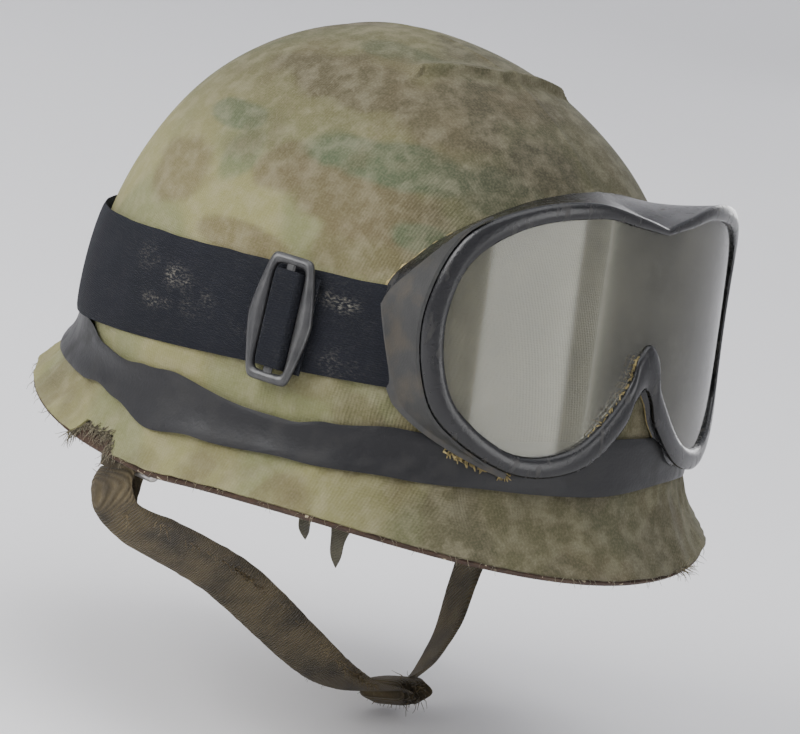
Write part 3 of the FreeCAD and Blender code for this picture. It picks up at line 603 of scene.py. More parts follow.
def cover_lift(phi, level, place):
    """How far the cloth stands off its smooth form."""
    lift = 0.7 * noise.noise(place * 0.022)
    fall = max(level - 1, 0)
    around = Vector((9 * math.cos(phi), 9 * math.sin(phi), 1.1 * level))
    lift += 2.0 * fall ** 1.3 * noise.noise(around)
    lift += 0.8 * fall * noise.noise(around * 2.3)
    if place.z > 140:
        lift += fold_lift(place)
    puckers = math.exp(-((fall - 0.45) / 0.22) ** 2)
    lift += 1.5 * puckers * ring_noise(phi, 20, 0.6 * level)
    turn = turned(phi)
    creases = math.exp(-((turn - 66) / 16) ** 2) * math.exp(-((place.z - 47) / 9) ** 2)
    lift += 1.3 * creases * math.sin(phi * 46 + 2 * noise.noise(place * 0.05))
    puffs = math.exp(-((turn - 108) / 14) ** 2) * math.exp(-((place.z - 42) / 5) ** 2)
    lift += 1.6 * puffs * (0.5 + noise.noise(place * 0.07))
    seam = math.exp(-(place.x / 1.3) ** 2) * ease(place.z, 20, 45)
    return max(lift, DEEPEST_DIP) + 0.45 * seam


def cover_end(phi):
    """Level of the cloth's ragged lower edge."""
    turn = turned(phi)
    ragged = 0.004 * noise.fractal(Vector((30 * math.cos(phi), 30 * math.sin(phi), 0)), 0.6, 2.2, 5)
    low, high = TORN
    torn = ease(turn, low - 2, low + 1) * (1 - ease(turn, high - 2, high + 1))
    rip = 0.16 + 0.10 * ring_noise(phi, 90, 5)
    bare = 0.022 * math.exp(-((turn - 78) / 26) ** 2)
    return 2.004 + ragged - bare - torn * rip


def cover_tint(phi, place):
    """Colour of the printed and faded cloth at a point, with painted shade over the front and towards the
    crown.
    """
    turn = turned(phi)
    colour = mix(KHAKI, GREEN, 0.35 * ease(noise.noise(place * 0.025 + Vector((9, 0, 0))), -0.1, 0.25))
    warp = 0.32 * noise.fractal(place * 0.05, 1.0, 2.0, 3)
    hidden = ease(abs(turn - 62), 70, 95) if place.z > 60 else 0.6
    patch = ease(noise.noise(place * 0.030 + Vector((0, 0, 4))) + 0.4 * warp, 0.10, 0.18)
    colour = mix(colour, BROWN, 0.8 * hidden * patch)
    for angle, height, half_angle, half_height, blotch, strength in BLOTCHES:
        reach = math.hypot((turn - angle) / half_angle, (place.z - height) / half_height)
        colour = mix(colour, blotch, strength * (1 - ease(reach + warp, 0.78, 1.12)))
    # Painted shade: the front of the cover, away from the key light, is mixed towards DARK.
    front = 1 - ease(turn, 25, 66) if turn > 0 else 1 - ease(-turn, 40, 90)
    colour = mix(colour, DARK, 0.78 * front)
    # Painted shade: darker towards the crown, half as much at the front.
    return mix(colour, DARK, 0.66 * ease(place.z, 100, 156) * (1 - 0.5 * front))


def camo_cover(finish):
    stations = 440
    tops = spread(0.02, 1.0, 150)
    skirts = spread(0.0, 1.0, 48)[1:]
    points, tints = [], []
    for phi in all_round(stations):
        end = cover_end(phi)
        column = [(level, 0.0) for level in tops + [1 + s * (end - 1) for s in skirts]]
        column += [(end + 0.004, -0.5)]
        column += [(end + (1.2 - end) * s, -0.95) for s in spread(0, 1, 12)]
        for level, offset in column:
            place = wall_point(phi, level)
            lift = cover_lift(phi, level, place)
            points.append(wall_point(phi, level, offset + lift))
            tints.append(cover_tint(phi, place))
    rows = len(points) // stations
    faces = []
    for k in range(stations):
        here, there = k * rows, (k + 1) % stations * rows
        faces.extend((here + r, here + r + 1, there + r + 1, there + r) for r in range(rows - 1))
    faces.append(tuple(k * rows for k in range(stations)))
    cover = build_mesh("camo_cover_cloth", points, faces, "helmet", finish, ["camo_cover"])
    layer = cover.data.color_attributes.new("tint", "FLOAT_COLOR", "POINT")
    layer.data.foreach_set("color", [c for tint in tints for c in (*tint, 1)])


def cover_frays(finish):
    """Loose threads of the cover's torn corner and lower edge."""
    threads = []
    for _ in range(230):
        phi = math.radians(random.uniform(TORN[0] - 2, TORN[1] + 2))
        start = wall_point(phi, cover_end(phi) - random.uniform(0, 0.05), -0.4)
        out = Vector((start.x, start.y, 0)).normalized()
        heading = Vector((random.gauss(0, 1), random.gauss(0, 1), -1.6)) + out * 0.8
        threads.append(thread(start, heading, random.uniform(3, 9), 0.22))
    for _ in range(260):
        phi = math.radians(random.uniform(-180, 180))
        start = wall_point(phi, cover_end(phi), -0.4)
        out = Vector((start.x, start.y, 0)).normalized()
        heading = out * random.uniform(-0.3, 1) + Vector((random.gauss(0, 1), random.gauss(0, 1), -0.8))
        threads.append(thread(start, heading, random.uniform(1.5, 5), 0.16))
    for _ in range(40):
        phi = math.radians(random.uniform(-14, -9))
        start = wall_point(phi, cover_end(phi), 0)
        heading = Vector((0.4, -1, 0.2)) + Vector((random.gauss(0, 0.6), 0, random.gauss(0, 0.6)))
        threads.append(thread(start, heading, random.uniform(3, 7), 0.2, droop=0.1))
    build_mesh("cover_frays", *joined(threads), "helmet", finish)


def tuck_flaps(finish):
    """Cloth flaps folded up inside the steel shell."""
    flaps = []
    for middle in (0, 45, 150, 180, 210, 315):
        loops = []
        for share in spread(-1, 1, 25):
            phi = math.radians(middle + 11 * share)
            low = 18 + 2.5 * noise.noise(Vector((share * 3, middle, 0)))
            wave = 0.25 * math.sin(share * 9 + middle)
            loops.append(dome_loop(phi, 52, low, lambda s: -4.3 + wave * s, 0.5))
        flaps.append(skin(loops))
    build_mesh("tucked_cover_flaps", *joined(flaps), "helmet", finish, ["cover_tuck_flaps"])


def loose_flap(middle, width, length):
    """Pointed cloth tail that hangs below the rim and curls at its tip."""
    phi = math.radians(middle)
    root = surface_point(phi, rim_height(phi) + 7, -5.4)
    side = Vector((-math.cos(phi), math.sin(phi), 0))
    inward = Vector((math.sin(phi), math.cos(phi), 0))
    loops = []
    for share in spread(0, 1, 22):
        taper = (1 - 0.25 * share - 0.72 * share ** 3) * (1 + 0.12 * math.sin(9 * share + middle))
        curl = 3.0 * share ** 2 + 0.5 * math.sin(7 * share)
        place = root + Vector((0, 0, -length * share)) + inward * curl + side * 1.5 * math.sin(3 * share)
        twist = side + inward * 0.5 * math.sin(4 * share + middle)
        across = twist.normalized()
        loops.append(strap_loop(place, across, across.cross(Vector((0, 0, 1))), width / 2 * taper, 0.6))
    return skin(loops)


def loose_flaps(finish):
    flaps = [loose_flap(56.5, 8, 17), loose_flap(50, 9, 24)]
    build_mesh("hanging_cover_flaps", *joined(flaps), "helmet", finish, ["loose_cover_flaps"])


# Rubber band: heights of its edges as (angle, height), all the way round
BAND_TOP = [(-180, 36), (-127, 37), (-90, 37), (-45, 42), (0, 49.5), (44, 43), (57, 38.8), (64, 35.3),
            (73, 35), (91, 37.9), (99, 35.8), (106, 33.8), (115, 34.6), (127, 38.6), (180, 38)]
BAND_BOTTOM = [(-180, 19), (-120, 19), (-90, 17), (-45, 24), (-12, 30), (10, 27), (25, 26.6), (43, 24.4),
               (61, 21.4), (82, 17.5), (94, 13.7), (105, 18.4), (112, 20.3), (118, 18.5), (140, 18.3),
               (180, 19)]


def rubber_band(finish):
    loops = []
    for phi in all_round(260):
        turn = turned(phi)
        top = along(BAND_TOP, turn)
        bottom = along(BAND_BOTTOM, turn)
        around = Vector((5 * math.cos(phi), 5 * math.sin(phi), 0))
        ripple = 0.5 * noise.noise(around * 1.7)
        curl = (0.5 + 1.0 * noise.noise(around)) * ease(abs(turn), 48, 60)
        loops.append(dome_loop(phi, top, bottom, lambda s: 1.5 + ripple * s + max(curl, 0) * s * s, 1.3, 13))
    build_mesh("rubber_band_loop", *skin(loops, closed=True), "helmet", finish, ["rubber_band"])


# Elastic strap and its buckle
BUCKLE_ANGLE = 69.0
BUCKLE_HEIGHT = 70.0
BUCKLE_BASE = 4.3
BUCKLE_THICKNESS = 2.2
BUCKLE_LENGTH = 48.0
BUCKLE_END_WIDTH = 17.0
BUCKLE_MIDDLE_WIDTH = 27.0
BUCKLE_SHOULDER = 3.0
BUCKLE_WINDOW = (13.4, 40.0)
BUCKLE_BAR_WIDTH = 3.8
PLEAT_REACH = 12.0
PLEAT_BASE = 3.35
PLEAT_HALF_WIDTH = 18.3
ELASTIC_START = 44.0
ELASTIC_SPLIT = 69.0
# Dusty scuffs as (angle, height, half angle, half height, strength)
SCUFFS = [(97, 72, 5, 5, 1.0), (101, 60, 5, 3, 0.9), (61, 82, 6, 3.5, 1.0), (108, 74, 5, 6, 0.45),
          (92, 66, 9, 8, 0.3), (76, 66, 5, 8, 0.25), (57, 60, 5, 7, 0.3)]


def elastic_loop(phi):
    turn = abs(turned(phi))
    middle = 65 + 11.5 * math.cos(phi) + 2.5 * math.sin(phi) ** 2
    half = 19.3 - 2.5 * math.cos(phi)
    base = 1.6 + 1.9 * ease(turn, 112, 132)
    ripple = 0.35 * ring_noise(phi, 6, 2)
    edge = 0.4 * ring_noise(phi, 8, 7)
    return dome_loop(phi, middle + half + edge, middle - half, lambda s: base + ripple * s, 1.5, 25)


def scuffed(piece, marks):
    """Paints placed dusty scuffs as a wear attribute."""
    wear = piece.data.attributes.new("wear", "FLOAT", "POINT")
    values = []
    for vertex in piece.data.vertices:
        place = vertex.co / MM
        turn = math.degrees(math.atan2(-place.x, -place.y))
        value = 0.05
        for angle, height, half_angle, half_height, strength in marks:
            reach = math.hypot((turn - angle) / half_angle, (place.z - height) / half_height)
            value = max(value, strength * (1 - ease(reach, 0.3, 1.2)))
        values.append(value)
    wear.data.foreach_set("value", values)


def elastic_strap(finish):
    """Three lengths: round the back, and from each side forward to the goggles."""
    spans = [("elastic_rear", ELASTIC_SPLIT, 360 - ELASTIC_SPLIT, "helmet", "goggle_loop", 90, -12),
             ("elastic_right", ELASTIC_START, ELASTIC_SPLIT, "goggle_loop", "goggles", -40, -74),
             ("elastic_left", 360 - ELASTIC_SPLIT, 360 - ELASTIC_START, "goggle_loop", "goggles", -40, -74)]
    for name, start, end, first, second, start_y, end_y in spans:
        count = int((end - start) * 1.1)
        loops = [elastic_loop(math.radians(angle)) for angle in spread(start, end, count)]
        piece = build_mesh(name, *skin(loops), finish=finish)
        scuffed(piece, SCUFFS)
        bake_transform(piece)
        if name == "elastic_rear":
            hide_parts("elastic_strap")


def pleat_rise(reach):
    """Height of the fold at a distance from the middle of the buckle."""
    return 4.4 * (1 - ease(abs(reach), 4.4, 6.6))


def strap_pleat(finish):
    """Fold of the strap that rises over the buckle's bar and fills its window."""
    place, normal, across, upright = wall_frame(math.radians(BUCKLE_ANGLE), BUCKLE_HEIGHT)
    step = 0.2
    loops = []
    for reach in spread(-PLEAT_REACH, PLEAT_REACH, 61):
        slope = (pleat_rise(reach + step) - pleat_rise(reach - step)) / (2 * step)
        out = (normal - across * slope).normalized()
        middle = place + across * reach + normal * (PLEAT_BASE + pleat_rise(reach))
        loops.append(strap_loop(middle, upright, out, PLEAT_HALF_WIDTH, 1.2, 21))
    piece = build_mesh("strap_pleat_fold", *skin(loops), "strap_slide", finish, ["strap_pleat"])
    scuffed(piece, SCUFFS)


def buckle_reach(u, v, power, *sides):
    """Distance to a rounded outline along (u, v); a side (a, b, d) is the line a|u| + b|v| = d."""
    total = sum(((a * abs(u) + b * abs(v)) / distance) ** power for a, b, distance in sides)
    return total ** (-1 / power)


def slide_buckle(finish):
    """Six-sided buckle with rounded corners, ridged rails and a middle bar."""
    place, normal, across, upright = wall_frame(math.radians(BUCKLE_ANGLE), BUCKLE_HEIGHT)
    rail = [(0, 0), (0, 0.5), (0.12, 0.8), (0.42, 1), (0.58, 1), (0.88, 0.8), (1, 0.5), (1, 0)]
    half_length, half_middle = BUCKLE_LENGTH / 2, BUCKLE_MIDDLE_WIDTH / 2
    run = half_length - BUCKLE_SHOULDER
    narrowing = half_middle - BUCKLE_END_WIDTH / 2
    slant = (run, narrowing, run * half_middle + narrowing * BUCKLE_SHOULDER)
    loops = []
    for angle in spread(0, 2 * math.pi, 241)[:-1]:
        u, v = math.cos(angle), math.sin(angle)
        inner = buckle_reach(u, v, 10, (1, 0, BUCKLE_WINDOW[0] / 2), (0, 1, BUCKLE_WINDOW[1] / 2))
        outer = buckle_reach(u, v, 16, (1, 0, half_middle), (0, 1, half_length), slant)
        loop = []
        for share, height in rail:
            reach = inner + (outer - inner) * share
            rise = BUCKLE_BASE + BUCKLE_THICKNESS * height
            loop.append(place + (across * u + upright * v) * reach + normal * rise)
        loops.append(loop)
    middle = place + normal * (BUCKLE_BASE + BUCKLE_THICKNESS / 2)
    bar_end = BUCKLE_WINDOW[1] / 2 + 0.5
    bar = [strap_loop(middle + upright * v, across, normal, BUCKLE_BAR_WIDTH / 2, 1.6)
           for v in spread(-bar_end, bar_end, 9)]
    buckle = joined([skin(loops, closed=True), skin(bar)])
    build_mesh("buckle_frame", *buckle, "strap_slide", finish, ["slide_buckle"])


# Goggles

def outline(half):
    """Closed outline through a half outline and its mirror image, as flat points."""
    near = [Vector((-x, 0, z)) for x, z in half]
    far = [Vector((x, 0, z)) for x, z in reversed(half[:-1])]
    return near + far


def outline_point(points, t, inset=0.0):
    """Point at outline number t, moved towards the inside of the outline."""
    step = 0.02
    ahead = curve_point(points, min(t + step, OUTLINE_END))
    behind = curve_point(points, max(t - step, 0))
    tangent = (ahead - behind).normalized()
    return curve_point(points, t) + Vector((-tangent.z, 0, tangent.x)) * inset


def front_point(place, setback):
    """Moves a flat outline point onto the goggles' curved front, or some distance behind it."""
    axis_y = GOGGLE_AXIS_Y + (place.z - GOGGLE_PIVOT_Z) * math.tan(GOGGLE_LEAN)
    radius = GOGGLE_RADIUS - setback
    return Vector((place.x, axis_y - math.sqrt(radius ** 2 - place.x ** 2) / math.cos(GOGGLE_LEAN), place.z))


def dome_point(place, offset):
    """Moves a flat outline point back until it is at an offset from the cover."""
    low, high = 0.0, math.pi / 2
    for _ in range(26):
        phi = (low + high) / 2
        if -surface_point(phi, place.z, offset).x < abs(place.x):
            low = phi
        else:
            high = phi
    return surface_point(math.copysign(phi, -place.x), place.z, offset)


def outline_numbers(count):
    """Numbers t evenly spread along the whole outline."""
    return [OUTLINE_END * (k + 0.5) / count for k in range(count)]


def nearer_front(place, setback, offset):
    behind = front_point(place, setback)
    clear = dome_point(place, offset)
    return behind if behind.y < clear.y else clear


def goggle_frame(finish):
    """Soft black frame: a round bead along the front edge, and a wall back to the dome."""
    opening, crest, rear = outline(OPENING), outline(CREST), outline(REAR_EDGE)
    loops = []
    for t in outline_numbers(340):
        inner = outline_point(opening, t)
        outer = outline_point(crest, t)
        loop = [nearer_front(inner, 5.0, 3.0), front_point(inner, 2.6)]
        for share in spread(0, 1, 9):
            swell = 1.9 * math.sin(math.pi * share) ** 0.8
            place = inner + (outer - inner) * (0.5 - 0.5 * math.cos(math.pi * share))
            loop.append(front_point(place, 1.4 - swell))
        crease = front_point(outline_point(crest, t, 0.8), 3.2)
        back = dome_point(outline_point(rear, t), 1.6)
        wall = [crease + (back - crease) * share for share in (0.0, 0.25, 0.5, 0.75, 0.92, 1.0)]
        loop += wall
        loop.append(dome_point(outline_point(rear, t, 2.4), 1.6))
        loop.append(nearer_front(inner + (outer - inner) * 0.35, 5.5, 2.4))
        loops.append(loop)
    build_mesh("goggle_frame_moulding", *skin(loops, closed=True), "goggles", finish, ["goggle_frame"])


def strap_wing(side, finish):
    """Plate on the side of the frame, with a raised lip along its back and bottom edges."""
    crest, rear = outline(CREST), outline(REAR_EDGE)
    shares = spread(-0.03, 1.13, 22)
    downs = spread(0, 1, 40)

    def wall(down, share, offset):
        top = 3.55 + 1.55 * max(share, 0) ** 0.8
        foot = 7.9 - 1.35 * share
        t = top + (foot - top) * down
        number = t if side < 0 else OUTLINE_END - t
        front = front_point(outline_point(crest, number, -offset), 2.2)
        back = dome_point(outline_point(rear, number, -offset), 2.6)
        return front + (back - front) * share

    def lip(down, share):
        edge = max(ease(share, 1.02, 1.10), ease(down, 0.955, 0.985))
        return 1.0 + 1.3 * edge

    loops = []
    for share in shares:
        outer = [wall(down, share, lip(down, share)) for down in downs]
        inner = [wall(down, share, 0.1) for down in reversed(downs)]
        loops.append(outer + inner)
    name = "right" if side < 0 else "left"
    build_mesh(name + "_wing_plate", *skin(loops), "goggles", finish, [name + "_strap_wing"])


def goggle_foam(finish):
    """Crumbling face seal between the frame and the dome."""
    rear = outline(REAR_EDGE)
    loops = []
    for t in outline_numbers(300):
        rough = 0.5 * noise.noise(Vector((t * 7, 0, 0)))
        corners = [(0.6 + rough, 1.6), (0.2 + rough, 0.9), (0.9, 0.2), (4.6 + 2 * rough, 0.2),
                   (5.2 + rough, 1.0), (4.4, 2.0), (2.4, 2.2 + rough)]
        loops.append([dome_point(outline_point(rear, t, inset), offset) for inset, offset in corners])
    build_mesh("goggle_foam_seal", *skin(loops, closed=True), "goggles", finish, ["goggle_foam"])


def foam_crumbs(finish):
    """Bits of the face seal that stick out below the frame and along the inner edge of the lens."""
    crumbs = []
    rear, opening = outline(REAR_EDGE), outline(OPENING)
    for _ in range(70):
        t = random.uniform(7.3, 8.2)
        place = dome_point(outline_point(rear, t, -random.uniform(0, 1.6)), 1.8 + random.uniform(0, 1))
        crumbs.append(thread(place, Vector((random.gauss(0, 1), -1, random.gauss(0, 1))), 2.2, 0.55, steps=3))
    for _ in range(60):
        t = random.uniform(9.2, 11.2)
        place = front_point(outline_point(opening, t, random.uniform(0, 0.8)), 2.0)
        crumbs.append(thread(place, Vector((random.gauss(0, 1), 0, random.gauss(0, 1))), 2.0, 0.35, steps=3))
    build_mesh("foam_crumbs", *joined(crumbs), "goggles", finish)


# Chin strap

def strap_place(x, drop, width=0.0):
    """Point of the hanging strap: drop is measured down its leaning plane from the bale's bar."""
    y = BALE_Y - drop * math.sin(WEB_LEAN) + width * math.cos(WEB_LEAN)
    z = BAR_Z - drop * math.cos(WEB_LEAN) - width * math.sin(WEB_LEAN)
    return Vector((x, y, z))


RIGHT_WEB = [(-111.8, -0.5), (-115.5, 7), (-112, 16), (-98, 25), (-67, 38.5), (-44, 52), (-22, 68), (0, 83.5),
             (17.5, 92), (42, 97.5)]
LEFT_WEB = [(48, 96), (63, 88.5), (77, 74.6), (89, 53), (101, 30), (110, 14), (113.5, 6), (111.8, -0.5)]


def web_loops(path, count, twist):
    """Loops of the webbing along a path of (x, drop); twist(share) turns it about its own length."""
    flat = [Vector((x, drop, 0)) for x, drop in path]
    width = (strap_place(0, 0, 1) - strap_place(0, 0)).normalized()
    loops = []
    for k in range(count):
        t = (len(path) - 1) * k / (count - 1)
        here = curve_point(flat, t)
        ahead = curve_point(flat, min(t + 0.05, len(path) - 1))
        behind = curve_point(flat, max(t - 0.05, 0))
        tangent = (strap_place(ahead.x, ahead.y) - strap_place(behind.x, behind.y)).normalized()
        turn = Matrix.Rotation(twist(k / (count - 1)), 3, tangent)
        across = turn @ width
        out = across.cross(tangent)
        rough = noise.noise(Vector((k * 0.6, path[0][0], 0)))
        gathered = 1 - ease(abs(here.x), 98, 112)
        half = (WEB_WIDTH / 2 + 0.45 * rough) * (0.8 + 0.2 * gathered)
        place = strap_place(here.x, here.y, 3.5 * (1 - gathered))
        place += out * 0.8 * noise.noise(Vector((k * 0.12, 3, 0)))
        loops.append(strap_loop(place, across, out, half, WEB_THICKNESS, 13))
    return loops


def chin_straps(finish):
    right = web_loops(RIGHT_WEB, 90, lambda s: math.radians(-32) * math.sin(math.pi * s))
    left = web_loops(LEFT_WEB, 60, lambda s: math.radians(-32) * (1 - s))
    for side, loops in (("right", right), ("left", left)):
        piece = build_mesh(side + "_webbing", *skin(loops), finish=finish, stands_for=[side + "_chin_strap"])
        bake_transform(piece)


def strap_ends(finish):
    """Webbing folded round each bale and sewn back on itself."""
    width = Vector((0, 1, 0))
    for side, name in ((-1, "right"), (1, "left")):
        loops = []
        radius = 2.6
        legs = [(radius, -drop) for drop in spread(2, 0.5, 4)]
        turns = [(radius * math.cos(a), radius * math.sin(a)) for a in spread(0, math.pi, 12)]
        backs = [(-radius + 0.9 * ease(drop, 0, 12), -drop) for drop in spread(1, 17, 14)]
        path = [Vector((side * BALE_X + x * side, BALE_Y, BAR_Z + z)) for x, z in legs + turns + backs]
        for k, place in enumerate(path):
            run = path[min(k + 1, len(path) - 1)] - path[max(k - 1, 0)]
            out = run.normalized().cross(width)
            rough = 0.5 * noise.noise(Vector((k * 0.5, side, 0)))
            loops.append(strap_loop(place + width * 3.5, width, out, 0.4 * WEB_WIDTH + rough, 1.7, 13))
        build_mesh(name + "_strap_fold", *skin(loops), "strap_carrier", finish, [name + "_strap_end"])


def strap_knot(finish):
    """Frayed lump where the two halves of the strap are tied."""
    lumps = []
    width = strap_place(0, 0, 1) - strap_place(0, 0)
    for turn in spread(-1, 1, 3):
        loops = []
        for a in spread(0, 2 * math.pi, 33)[:-1]:
            centre = strap_place(45 + 3.5 * turn + 5.5 * math.cos(a), 97.0 + 4.6 * math.sin(a))
            tangent = Vector((-math.sin(a), 0, -math.cos(a)))
            out = tangent.cross(width).normalized()
            half = 10.5 + 1.5 * math.sin(3 * a + turn)
            loops.append(strap_loop(centre, width, out, half, 1.8 + 0.5 * math.sin(5 * a), 11))
        lumps.append(skin(loops, closed=True))
    build_mesh("strap_knot_wraps", *joined(lumps), "chin_strap", finish, ["strap_knot"])


def strap_frays(finish):
    """Broken threads of the webbing: along its edges, at a tear and at the knot."""
    threads = []
    flat = [Vector((x, drop, 0)) for x, drop in RIGHT_WEB]
    for _ in range(420):
        t = random.choice([random.uniform(2.5, 8), random.gauss(4.3, 0.25), random.gauss(7.4, 0.4)])
        here = curve_point(flat, min(max(t, 2.4), 8))
        edge = random.choice((-1, 1)) * WEB_WIDTH / 2
        start = strap_place(here.x, here.y, edge)
        heading = Vector((random.gauss(0, 0.7), math.copysign(0.8, edge), random.gauss(0, 0.8)))
        threads.append(thread(start, heading, random.uniform(1.5, 6), 0.2))
    for _ in range(160):
        start = strap_place(random.uniform(38, 52), random.uniform(92, 102), random.uniform(-11, 11))
        heading = Vector((random.gauss(0, 1), random.gauss(0, 1), random.gauss(0, 1)))
        threads.append(thread(start, heading, random.uniform(3, 8), 0.25))
    build_mesh("strap_frays", *joined(threads), "chin_strap", finish)


def bale_threads(finish):
    """Threads that hang from the folded webbing at the right bale."""
    threads = []
    for _ in range(120):
        y = BALE_Y + random.uniform(-6, 13)
        start = Vector((-BALE_X - random.uniform(-2, 3), y, BAR_Z - random.uniform(-2, 18)))
        heading = Vector((random.gauss(-0.4, 0.7), random.gauss(0, 1), random.gauss(0, 0.8)))
        threads.append(thread(start, heading, random.uniform(2, 7), 0.22))
    build_mesh("bale_threads", *joined(threads), "strap_carrier", finish)


# Inside of the liner

RIVET_ANGLES = (30, 90, 150, 210, 270, 330)


def suspension_band(finish):
    """Webbing loop that sags inward between its rivets."""
    loops = []
    for phi in all_round(240):
        sag = 16 * math.cos(3 * phi) ** 4
        ripple = 0.5 * ring_noise(phi, 6, 1)
        loops.append(dome_loop(phi, 66, 48, lambda s: -10.2 - sag + ripple * s, 1.3, 13))
    build_mesh("suspension_webbing", *skin(loops, closed=True), "helmet", finish, ["suspension_band"])


def crown_strap(angle, lift, name, finish):
    """Webbing arch over the wearer's head, flat for a short way at the top."""
    phi = math.radians(angle)
    near = surface_point(phi, 70, -15.2)
    far = surface_point(phi + math.pi, 70, -15.2)
    run = (far - near).normalized()
    half_span = (far - near).length / 2
    across = Vector((run.y, -run.x, 0))
    middle = (near + far) / 2
    rise = 136.6 + lift - middle.z
    loops = []
    for share in spread(-1, 1, 61):
        reach = 20 + (half_span - 20) * abs(share)
        height = rise * (1 - share ** 2)
        slope = -2 * rise * share / (half_span - 20)
        out = Vector((-run.x * slope, -run.y * slope, 1)).normalized()
        place = middle + run * math.copysign(reach, share) + Vector((0, 0, height))
        half = 11 + 0.25 * noise.noise(Vector((share * 9, angle, 0)))
        loops.append(strap_loop(place, across, out, half, 1.2, 11))
    build_mesh(name + "_webbing", *skin(loops), "helmet", finish, [name])


def nape_strap(finish):
    loops = []
    for angle in spread(120, 240, 90):
        sag = 7 * math.cos((angle - 180) / 60 * math.pi / 2) ** 2
        ripple = 0.4 * noise.noise(Vector((angle * 0.06, 0, 2)))
        loops.append(dome_loop(math.radians(angle), 38, 20, lambda s: -10.0 - sag + ripple * s, 1.3, 13))
    build_mesh("nape_webbing", *skin(loops), "helmet", finish, ["nape_strap"])


def headband(finish):
    """Leather sweatband with soft edges and a slight belly."""
    loops = []
    for phi in all_round(240):
        out = Vector((-math.sin(phi), -math.cos(phi), 0))
        belly = 0.6 * ring_noise(phi, 5)
        place = Vector((-79.2 * math.sin(phi), -2 - 94.2 * math.cos(phi), 41)) + out * belly
        loops.append(strap_loop(place, Vector((0, 0, 1)), out, 14 + 0.3 * belly, 1.6, 13))
    build_mesh("sweatband", *skin(loops, closed=True), "helmet", finish, ["headband"])


# Hard pieces keep their own meshes

def dress(node, finish, bevel=0.0):
    """Gives a hard piece its finish, and rounds its sharp edges a little."""
    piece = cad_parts[node]
    piece.data.materials.clear()
    piece.data.materials.append(finish)
    if bevel:
        modifier = piece.modifiers.new("edges", "BEVEL")
        modifier.width = bevel * MM
        modifier.segments = 3
        modifier.limit_method = "ANGLE"


# Studio

def backdrop():
    """Pale paper floor that curves up to a wall all the way round."""
    floor_z = -109.0
    profile = [(1, 0), (1200, 0), (2600, 0)]
    profile += [(2600 + 2400 * math.sin(a), 2400 * (1 - math.cos(a))) for a in spread(0.1, math.pi / 2, 12)]
    profile += [(5000, 5200)]
    loops = []
    for radius, height in profile:
        angles = spread(0, 2 * math.pi, 97)[:-1]
        loops.append([Vector((radius * math.cos(a), radius * math.sin(a), floor_z + height)) for a in angles])
    points, faces = skin(loops)
    wall = build_mesh("backdrop", points, faces[:-1], finish=studio_paper())


def softbox(name, azimuth, elevation, distance, width, height, power):
    """Square soft light that points at the helmet; azimuth 0 is in front of it, negative to its right."""
    a, e = math.radians(azimuth), math.radians(elevation)
    lamp = bpy.data.lights.new(name, "AREA")
    lamp.shape = "RECTANGLE"
    lamp.size = width
    lamp.size_y = height
    lamp.energy = power
    box = bpy.data.objects.new(name, lamp)
    box.location = Vector((math.sin(a) * math.cos(e), -math.cos(a) * math.cos(e), math.sin(e))) * distance
    box.rotation_euler = box.location.to_track_quat("Z", "Y").to_euler()
    bpy.context.scene.collection.objects.link(box)
    return box


def studio_lights():
    softbox("key", -112, 34, 2.3, 1.6, 1.4, 52)
    softbox("front", -2, 3, 2.4, 1.38, 1.8, 26).visible_diffuse = False
    softbox("far_side", 108, 6, 2.4, 1.0, 1.8, 26).visible_diffuse = False
    softbox("top", -40, 76, 2.2, 2.0, 2.0, 26)
    world = bpy.data.worlds.new("studio")
    world.use_nodes = True
    world.node_tree.nodes["Background"].inputs["Color"].default_value = (0.9, 0.93, 1.0, 1)
    world.node_tree.nodes["Background"].inputs["Strength"].default_value = 0.9
    bpy.context.scene.world = world


def camera():
    """Three-quarter view from the wearer's right front, with the helmet leaning to the right."""
    azimuth, elevation, roll = math.radians(-50.06), math.radians(10.93), math.radians(12.27)
    distance = 1.635
    target = Vector((0, 0, 0.070))
    back = Vector((math.sin(azimuth) * math.cos(elevation), -math.cos(azimuth) * math.cos(elevation),
                   math.sin(elevation)))
    level = (-back).cross(Vector((0, 0, 1))).normalized()
    steep = level.cross(-back)
    right = level * math.cos(roll) + steep * math.sin(roll)
    up = steep * math.cos(roll) - level * math.sin(roll)
    place = target + back * distance
    aim = target + right * 0.0016 - up * 0.0303
    look = (place - aim).normalized()
    sideways = up.cross(look).normalized()
    lens = bpy.data.cameras.new("camera")
    lens.lens = 186.03
    lens.sensor_width = 36
    eye = bpy.data.objects.new("camera", lens)
    facing = Matrix((sideways, look.cross(sideways), look)).transposed().to_4x4()
    eye.matrix_world = Matrix.Translation(place) @ facing
    bpy.context.scene.collection.objects.link(eye)
    bpy.context.scene.camera = eye


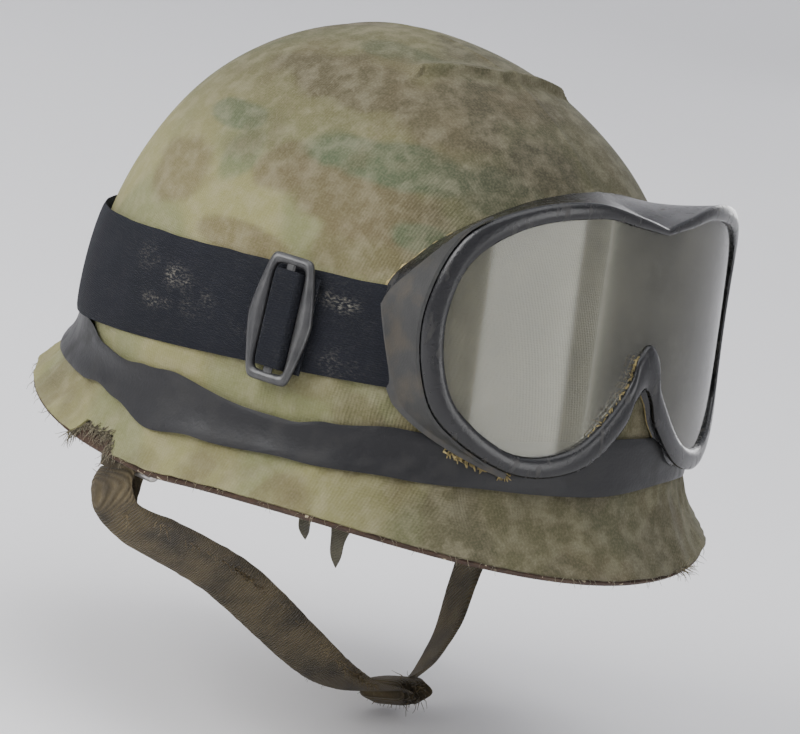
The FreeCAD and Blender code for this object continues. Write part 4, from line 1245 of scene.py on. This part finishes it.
def main():
    cloth = cover_cloth()
    fray = cotton_webbing("fray_cotton", (0.24, 0.21, 0.13), (0.13, 0.11, 0.07), "Z")
    flap = cotton_webbing("flap_cotton", (0.12, 0.11, 0.065), (0.05, 0.043, 0.026), "Z", 0.6)
    camo_cover(cloth)
    cover_frays(fray)
    tuck_flaps(flap)
    loose_flaps(flap)
    rubber_band(black_rubber())

    elastic = elastic_weave()
    elastic_strap(elastic)
    strap_pleat(elastic)
    slide_buckle(worn_enamel("buckle_enamel", (0.030, 0.030, 0.031), (0.075, 0.075, 0.074), 0.52, 0.30, 9))

    foam = seal_foam()
    goggle_frame(frame_plastic())
    plate = plate_plastic()
    strap_wing(-1, plate)
    strap_wing(1, plate)
    goggle_foam(foam)
    foam_crumbs(foam)
    dress("goggle_lens", lens_plastic())

    web = cotton_webbing("olive_webbing", (0.120, 0.092, 0.045), (0.042, 0.032, 0.017), "X", 1.0)
    web_fray = cotton_webbing("webbing_fray", (0.20, 0.15, 0.07), (0.09, 0.062, 0.026), "Z")
    strap_ends(web)
    chin_straps(web)
    strap_knot(web)
    strap_frays(web_fray)
    bale_threads(web_fray)

    khaki_web = cotton_webbing("khaki_webbing", (0.33, 0.29, 0.18), (0.19, 0.16, 0.095), "Z")
    suspension_band(khaki_web)
    crown_strap(RIVET_ANGLES[0], 0, "crown_strap_fore", khaki_web)
    crown_strap(RIVET_ANGLES[1], 1.5, "crown_strap_cross", khaki_web)
    crown_strap(RIVET_ANGLES[2], 3, "crown_strap_aft", khaki_web)
    nape_strap(khaki_web)
    headband(plain_leather())

    rim = rusted_steel("rim_rust", (0.06, 0.035, 0.02), 0.42)
    paint = rusted_steel("shell_paint", (0.085, 0.082, 0.045), 0.58)
    black = worn_enamel("black_enamel", (0.02, 0.02, 0.018), (0.22, 0.21, 0.19), 0.62)
    brass = dull_brass()
    wire = bale_steel()
    for node, finish, bevel in (
            ("rim_strip", rim, 0), ("steel_shell", paint, 0), ("right_bale_lug", paint, 0.3),
            ("left_bale_lug", paint, 0.3), ("right_bale", wire, 0), ("left_bale", wire, 0),
            ("liner_shell", laminate(), 0), ("suspension_rivets", black, 0.3), ("nape_studs", black, 0.3),
            ("a_washers", black, 0.2), ("headband_buckle", black, 0.2), ("headband_clips", brass, 0.2),
            ("liner_eyelet", brass, 0.1)):
        dress(node, finish, bevel)

    backdrop()
    studio_lights()
    camera()


main()
